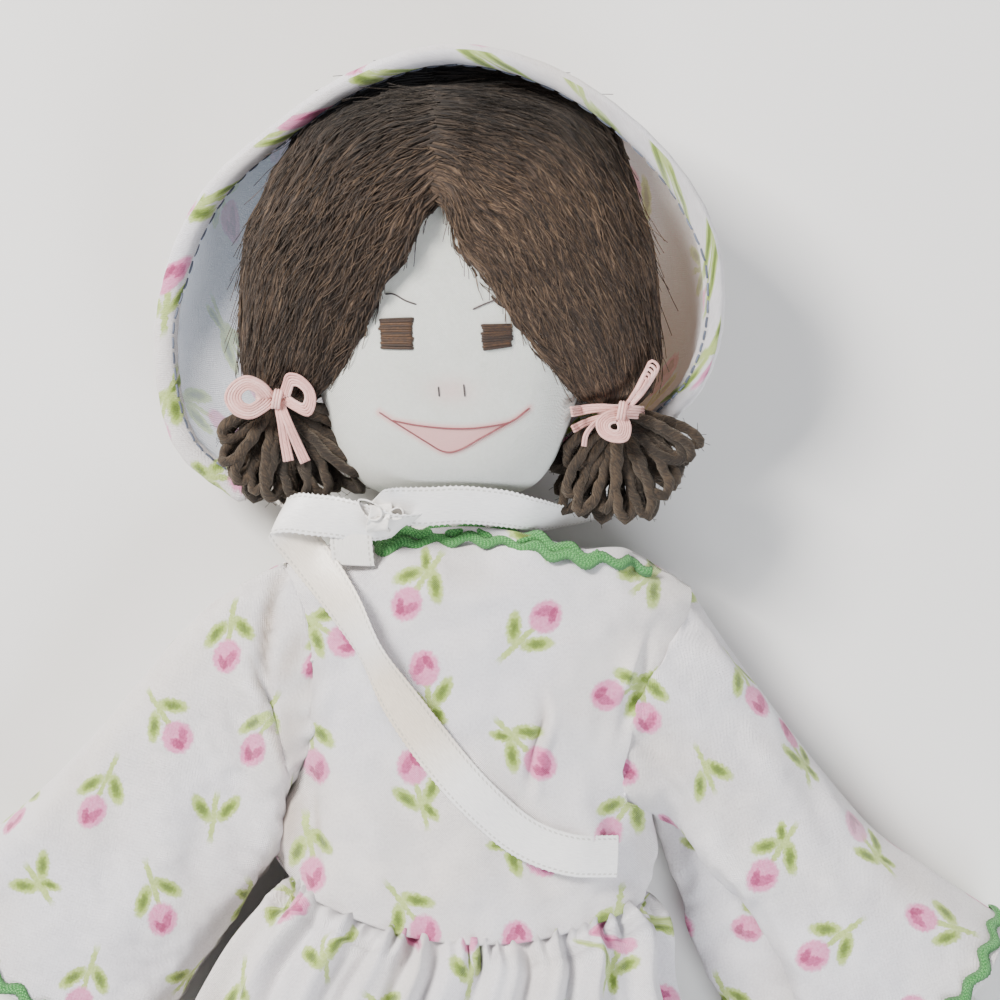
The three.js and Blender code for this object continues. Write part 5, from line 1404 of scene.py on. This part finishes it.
NECK_PLACES = 60
front = bodice_point(True, np.linspace(0.585, -0.36, NECK_PLACES), 0.035)
back = bodice_point(False, np.linspace(-0.36, 0.575, NECK_PLACES), 0.035)
corner = [[front[-1, 0] - 0.4, 47.3, TRUNK_AXIS + 6], [front[-1, 0] - 0.6, 47.9, TRUNK_AXIS],
          [back[0, 0] - 0.4, 47.3, TRUNK_AXIS - 6]]
route = smooth_line(np.concatenate([front, corner, back]), 260)
middle = np.array([5 * 0.6, 30, TRUNK_AXIS])
OUT_OF_NECK = (0.15, 0.55, 1)
rickrack("neck_braid", route, unit((route - middle) * OUT_OF_NECK), "torso", "neck_rickrack",
         closed=False, lift=0.6)
# a second row of braid shows inside the neckline, above the first
first = 14
lead = run_along(front[:first + 1])[-1]
share = np.linspace(0, 1, NECK_PLACES - first)
rise = np.clip(share * 4, 0, 1) * np.clip((1 - share) * 9, 0, 1)
inner_row = front[first:] + np.column_stack([0 * share, 0.7 + 1.7 * rise, -0.5 - 1.2 * rise])
rickrack("neck_braid_inner", inner_row, unit((inner_row - middle) * OUT_OF_NECK), "torso",
         "neck_rickrack", closed=False, lift=0.6, start=lead / BRAID_PITCH * math.tau)

# %% [markdown]
# Under the skirt are plain white pantaloons, with fine gathers at the waist and at each cuff.
# They are tubes like the sleeves, and most of them only shows from below.

# %% Pantaloons
LEG_ROWS = [[-0.02, 0.98, 1], [0.18, 1, 1], [0.5, 0.94, 0.96], [0.8, 0.84, 0.86], [0.94, 0.66, 0.7],
            [1, 0.92, 0.84]]
CALICO = 0.6
LEG_FLOOR = 3.7
LEG_RING = 128
LEG_STEPS = 60
PANTALOON_LENGTH = 156
around = np.linspace(0, math.tau, LEG_RING, endpoint=False)
t = np.linspace(0, 1, LEG_STEPS + 1)[:, None]
for side, sign in SIDES.items():
    rings = [oval(width * 18.5, LEG_FLOOR, LEG_FLOOR + 2 * depth * 16.7, 2.3, 2.3, LEG_RING)
             - (0, down * PANTALOON_LENGTH, HIP[2]) for down, width, depth in LEG_ROWS]
    rows = smooth_line(rings, LEG_STEPS, even=False)
    gathers = np.sin(around * 26 + np.sin(around * 5)) * (np.exp(-((t - 0.8) / 0.09) ** 2) * 0.5 + 0.12)
    rows = crumple(rows + normals_of(rows, True) * gathers[..., None], 0.3, 20, closed=True)
    cos, sin = math.cos(sign * LEG_SPREAD), math.sin(sign * LEG_SPREAD)
    rows = rows @ [[cos, sin, 0], [-sin, cos, 0], [0, 0, 1]] + HIP * (sign, 1, 1)
    rows[..., 2] = np.maximum(rows[..., 2], 3.5)
    sewn(f"pantaloon_cotton_{side}", rows, calico, CALICO, f"leg_{side}", f"pantaloon_{side}", "calico",
         "gathered", [f"leg_{side}", f"leg_muslin_{side}"], closed=True)
rings = [oval(38, LEG_FLOOR, 35.3, 2.6, 2.6, LEG_RING) + (0, y, 0) for y in (-55, -62, -69, -76)]
rows = smooth_line(rings, 20, even=False)
rows = rows + normals_of(rows, True) * (np.sin(around * 40) * 0.25)[None, :, None]
seat = sewn("pantaloon_seat_cotton", rows, calico, CALICO, None, "pantaloon_seat", "calico",
            "gathered", ["torso", "torso_muslin"], closed=True)
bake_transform(seat)

# %% [markdown]
# The bonnet has a crown behind the head and a wide brim that stands out round the hair. The brim
# is two layers of the print, sewn to the crown, with its outer edge rolled over and held by one
# line of dark running stitch.

# %% Bonnet
BRIM_SIZE = (65.15, 103.9, 42)
CROWN_SIZE = (51.5 * 0.89, 97 * 0.945)
BRIM_EDGE = [[0.67, 0.05, 0.34], [0.8, 0.17, 0.5], [0.935, 0.264, 0.68], [1, 0.4, 0.82],
             [0.966, 0.602, 0.9], [0.78, 0.78, 0.96], [0.432, 0.942, 1], [0.05, 1, 1],
             [-0.288, 0.942, 0.97], [-0.567, 0.829, 0.88], [-0.815, 0.692, 0.75], [-0.965, 0.5, 0.62],
             [-1, 0.318, 0.52], [-0.93, 0.123, 0.4], [-0.703, 0.004, 0.3]]
CROWN_RIM = [[0.86, 0.1], [0.97, 0.2], [1, 0.3], [1, 0.46], [0.94, 0.64], [0.76, 0.81], [0.4, 0.955], [0, 1],
             [-0.4, 0.955], [-0.7, 0.85], [-0.9, 0.71], [-1, 0.5], [-1, 0.32], [-0.97, 0.2], [-0.86, 0.1]]
BRIM_ROLL = 2.3
STATIONS = 220
CROWN_RING = 240
CROWN_FOOT = (-2.2, 9)
edge_places = np.array(BRIM_EDGE) * BRIM_SIZE + (-5, 5.5, -NECK[2])
rim_places = np.column_stack([np.array(CROWN_RIM) * CROWN_SIZE + CROWN_FOOT, [-9.9] * len(CROWN_RIM)])
edge = on_head(smooth_line(edge_places, STATIONS, even=False))
rim = on_head(smooth_line(rim_places, STATIONS, even=False))
reach = edge - rim
far = np.linalg.norm(reach, axis=1, keepdims=True)
shares = np.linspace(0, 1, 34)
belly = smooth_line([[0, 0], [1, 0.2], [2, 0.13], [3, 0]], 33, even=False)[:, 1]
middle = on_head([*HEAD_MIDDLE, 0])
inward = unit((middle - edge) * (1, 1, 0))
brim_rows = []
for share, bulge in zip(shares, belly):
    row = rim + reach * (1 - (BRIM_ROLL + 0.3) / far) * share
    away = unit((row - middle) * (1, 1, 0))
    brim_rows.append(row + away * bulge * far)
brim_rows = crumple(np.array(brim_rows), 0.5, 26)[:, ::-1]
sewn("brim_cotton", brim_rows, lining_print, 1.0, "head", "bonnet_brim", "bonnet_print",
     "stretched", ["bonnet_crown"], back=bonnet_print)

nape = np.array([[-0.5, 0.03], [0, 0.0], [0.5, 0.03]])
ring = np.concatenate([rim_places[:, :2], nape * CROWN_SIZE + CROWN_FOOT])
ring = smooth_line(ring, CROWN_RING, closed=True)[::-1]
bowl = np.radians(np.linspace(30, 88, 26))
around = np.arange(CROWN_RING) / CROWN_RING * math.tau
pleats = np.sin(around * 38 + np.sin(around * 5))
crown_rows = []
for angle in bowl:
    wide, deep = math.cos(angle) ** (2 / 2.6), math.sin(angle) ** (2 / 2.6)
    shrink = wide / 0.895 * (1 - 0.008 * (1 + pleats[:, None]) * math.exp(-(angle - bowl[0]) / 0.25))
    flat = HEAD_MIDDLE + (ring - HEAD_MIDDLE) * shrink
    crown_rows.append(on_head(np.column_stack([flat, np.full(CROWN_RING, 29.5 - 30 * deep - NECK[2])])))
crown_rows = np.array(crown_rows)
crown_rows[..., 2] = np.maximum(crown_rows[..., 2], 0.1)
sewn("crown_cotton", crown_rows, bonnet_print, 0.8, "head", "bonnet_crown", "bonnet_print",
     "gathered", ["hair_right", "hair_left"], closed=True)

run = unit(np.gradient(edge, axis=0))
across = unit(reach)
up = unit(np.cross(run, across))
across = np.cross(up, run)
turns = np.linspace(0, math.tau, 20, endpoint=False)
puckers = 1 + 0.035 * np.sin(np.arange(STATIONS + 1) * 1.25)[:, None]
roll_rows = [edge + (across * math.cos(a) + up * math.sin(a) * 0.75) * (BRIM_ROLL + 0.15) * puckers
             for a in turns]
roll_rows = np.stack(roll_rows, 1)
for end in (0, -1):
    # each end is drawn together
    roll_rows[end] = edge[end] + (roll_rows[end] - edge[end]) * 0.25
roll = sheet_mesh("brim_hem_cotton", roll_rows[::-1], hem_print, 0.5, closed=True)
settle(roll, "head", "bonnet_brim_hem")

# %% [markdown]
# The ribbon is narrow satin with tiny picot loops along both edges. It comes from the brim on
# each side, meets in a small knot under the chin, and its long end turns over at the shoulder
# and lies across the chest. Each row of the lists holds a place on its middle line and the
# direction of its width.

# %% Satin ribbon
RIBBON_HALF = 4.75
CHIN_STRAP = [[36.5, 5.2, -6.5, 0, 0.9, 0.4], [31.5, 2.8, -1, 0, 0.6, 0.8], [26, 1, 5, 0, 0.5, 0.85],
              [19, 1.2, 13, 0, 0.8, 0.6], [11, 2.7, 17.5, 0, 0.9, 0.43], [1, 3.6, 19.8, 0, 0.9, 0.43],
              [-8, 3.2, 20, 0, 0.92, 0.4], [-13, 3.4, 20.2, 0.1, 0.85, 0.5], [-17, 4.2, 20.2, 0.3, 0.65, 0.7],
              [-20, 4.8, 19.6, 0.5, 0.45, 0.75]]
SIDE_STRAP = [[-45, 9, -8, 0, 0.85, 0.5], [-38, 2, -5, 0, 0.3, 0.95], [-30, -1.8, 2, 0, 0.2, 0.98],
              [-24.5, -1.6, 9, 0, 0.25, 0.96], [-20.5, 0, 13, 0, 0.4, 0.9]]
LONG_END = [[-17.5, 51.9, 41.4, 0.5, 0.35, 0.8], [-21.4, 50.4, 41.2, 0.15, 0.6, 0.8],
            [-26.8, 50.6, 40.6, 0.05, 0.85, 0.5], [-32.3, 51.3, 40, 0, 0.97, 0.2],
            [-36.5, 51.8, 39.4, 0, 1, 0], [-41, 52, 38.8, 0.1, 1, 0], [-46, 52.2, 37.8, 0.25, 0.95, 0],
            [-49.2, 51, 36, 0.41, 0.91, 0], [-47.5, 48.5, 34.4, 0.55, 0.8, 0], [-44, 45, 34, 0.7, 0.7, 0.05],
            [-39.8, 40.3, 35, 0.75, 0.66, 0.2], [-32.8, 31.6, 37, 0.78, 0.52, 0.5],
            [-25.4, 20.4, 38, 0.62, 0.4, 0.85], [-18, 9.4, 39, 0.78, 0.52, 0.45],
            [-8.1, -2.8, 39, 0.74, 0.67, 0.08], [1.9, -12.9, 39, 0.68, 0.73, 0],
            [12.9, -21.2, 38, 0.5, 0.86, 0], [23.6, -24.6, 37, 0.16, 0.98, 0], [35, -24.8, 34, 0, 1, 0]]
SHORT_END = [[-31.9, 49, 38.8, 1, 0.06, 0], [-31.5, 45, 38.2, 1, 0.04, 0.03],
             [-30.8, 40.7, 37.2, 1, 0.0, 0.08]]
# the share of cream along the long end, where its back shows, with a painted highlight where it dips to cool
# white a little before the middle
CREAM_AND_HIGHLIGHT_STOPS = [0, 0.2, 0.26, 0.38, 0.46, 0.52, 0.62, 0.72, 1]
CREAM_AND_HIGHLIGHT = [0.1, 0.15, 0.7, 0.7, 0.2, 0.85, 0.9, 0.15, 0.1]
KNOT_CREAM = 0.3


def ribbon_rows(route, local, lift=0.0):
    route = np.array(route, float)
    spans = 60 * (len(route) - 1)
    line = smooth_line(route[:, :3], spans, even=False)
    width = smooth_line(route[:, 3:], spans, even=False)
    if local:
        width = on_head(line + width) - on_head(line)
        line = on_head(line)
    run = run_along(line)
    stops = np.linspace(0, run[-1], int(run[-1] / 0.34))
    line, width = at_stops(stops, run, line), unit(at_stops(stops, run, width))
    if lift:
        under = [lay_on(chest_top, (line + width * part)[:, :2], 0) for part in (-4, -2, 0, 2, 4)]
        under = np.maximum(line[:, 2], np.max(under, axis=0) + lift + abs(width[:, 2]) * RIBBON_HALF * 0.8)
        line[:, 2] = np.convolve(np.pad(under, 20, mode="edge"), np.ones(41) / 41, "valid")
    up = unit(np.cross(np.gradient(line, axis=0), width))
    up *= np.where(up[:, 2:] < 0, -1, 1)
    picots = np.maximum(np.sin(stops * math.tau / PICOT_PITCH), 0)[:, None]
    wave = 0.25 * np.sin(stops / 9 + dice.random() * 6)[:, None]
    columns = []
    for part in (-1.07, -1, -0.82, -0.45, 0, 0.45, 0.82, 1, 1.07):
        out = part if abs(part) < 1.05 else np.sign(part) * (1.002 + 0.075 * picots)
        columns.append(line + width * out * RIBBON_HALF + up * (wave * part + 0.35 * (1 - part * part)))
    return np.stack(columns, 1), line, stops / run[-1]


for name, route, local, lift, warm in (("chin_strap", CHIN_STRAP, True, 0, 0.15),
                                       ("side_strap", SIDE_STRAP, True, 0, 0.5),
                                       ("long_end", LONG_END, False, 0.7, None),
                                       ("short_end", SHORT_END, False, 0, 0.35)):
    rows, line, share = ribbon_rows(route, local, lift)
    marks = warm or np.interp(share, CREAM_AND_HIGHLIGHT_STOPS, CREAM_AND_HIGHLIGHT)[:, None]
    piece = sheet_mesh(f"ribbon_satin_{name}", rows, satin, 0.22, marks=marks)
    settle(piece, "head" if name != "long_end" else None, f"ribbon_{name}")
    if name == "long_end":
        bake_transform(piece)

# the knot: the ribbon wound once round the straps, and its loops pulled through
middle = on_head([-18.5, 0.6, 20])
a = np.linspace(0, math.tau, LOOP_STEPS, endpoint=False)
wound = []
for part in np.linspace(-1, 1, 15):
    crush = 1 + 0.1 * np.sin(a * 3 + part * 2) + 0.05 * np.sin(a * 7 + part * 5)
    pinch = 0.8 + 0.2 * part * part
    wound.append(np.stack([middle[0] + part * 2.6 + 0.4 * np.sin(a * 2),
                           middle[1] + np.cos(a) * 3.2 * crush * pinch,
                           middle[2] + 0.2 + np.sin(a) * 2.1 * crush * pinch], 1))
knot = sheet_mesh("ribbon_knot_satin", wound[::-1], satin, 0.4, closed=True, marks=KNOT_CREAM)
settle(knot, "head", "ribbon_knot")
for name, place, long, short, turn in (("wide", (370, 509), 3.1, 1.7, -36),
                                       ("narrow", (396, 514), 1.8, 1.3, 20)):
    # a loop of ribbon that stands on its edge, so the hollow in it shows
    x, y = seen_at(place)
    cos, sin = math.cos(math.radians(turn)), math.sin(math.radians(turn))
    loop = []
    for rise in np.linspace(0, 1, 7):
        ring_x = long * np.cos(a) * (1 + 0.12 * rise)
        ring_y = short * (np.sin(a) + 0.15 * np.sin(a * 2)) * (1 + 0.12 * rise)
        loop.append(np.stack([x + ring_x * cos - ring_y * sin, y + ring_x * sin + ring_y * cos,
                              39.6 + 4.6 * rise + 0.5 * np.cos(a)], 1))
    loop = sheet_mesh(f"ribbon_loop_satin_{name}", loop, satin, 0.35, closed=True, marks=KNOT_CREAM)
    settle(loop, "head", "ribbon_knot")

# %% [markdown]
# Last come the running stitches inside the brim's hem and the pale floor under the doll.

# %% Stitches and floor
stitches = []
turned_up = np.where(edge[:, 0] < 0, np.interp(edge[:, 1], [96, 112], [0.75, -0.3]),
                     np.interp(edge[:, 1], [116, 132], [0.75, -0.3]))
facing = inward * 0.65 + np.array([0, 0, 1.0]) * turned_up[:, None]
facing = unit(np.stack([np.sum(facing * across, 1), np.sum(facing * up, 1)], 1))
seam = (across * facing[:, :1] + up * facing[:, 1:] * 0.75) * (BRIM_ROLL + 0.15)
seam = edge + seam + unit(seam) * 0.62
for k in range(4, STATIONS - 3, 3):
    line = seam[k] + (seam[k + 2] - seam[k]) * np.linspace(0, 1.1, 6)[:, None]
    stitches.append(line + (line[:1] - edge[k]) * 0.06 * np.sin(np.linspace(0, math.pi, 6))[:, None])
stitches = strands("brim_hem_stitches", stitches, 0.28, grey_thread, first=300)
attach(stitches, "head")

floor_finish = Finish("pale_floor", 0.85)
clouds = floor_finish.noise(floor_finish.place("Object"), 260)
floor_finish.done(floor_finish.ramp(clouds, [(0.35, (0.885, 0.88, 0.87)), (0.7, (0.9, 0.895, 0.885))]))
bpy.ops.mesh.primitive_plane_add(size=6, location=(0, 0, -0.0004))
floor = bpy.context.object
floor.name = "floor"
floor.data.materials.append(floor_finish.material)
bpy.ops.object.select_all(action="DESELECT")
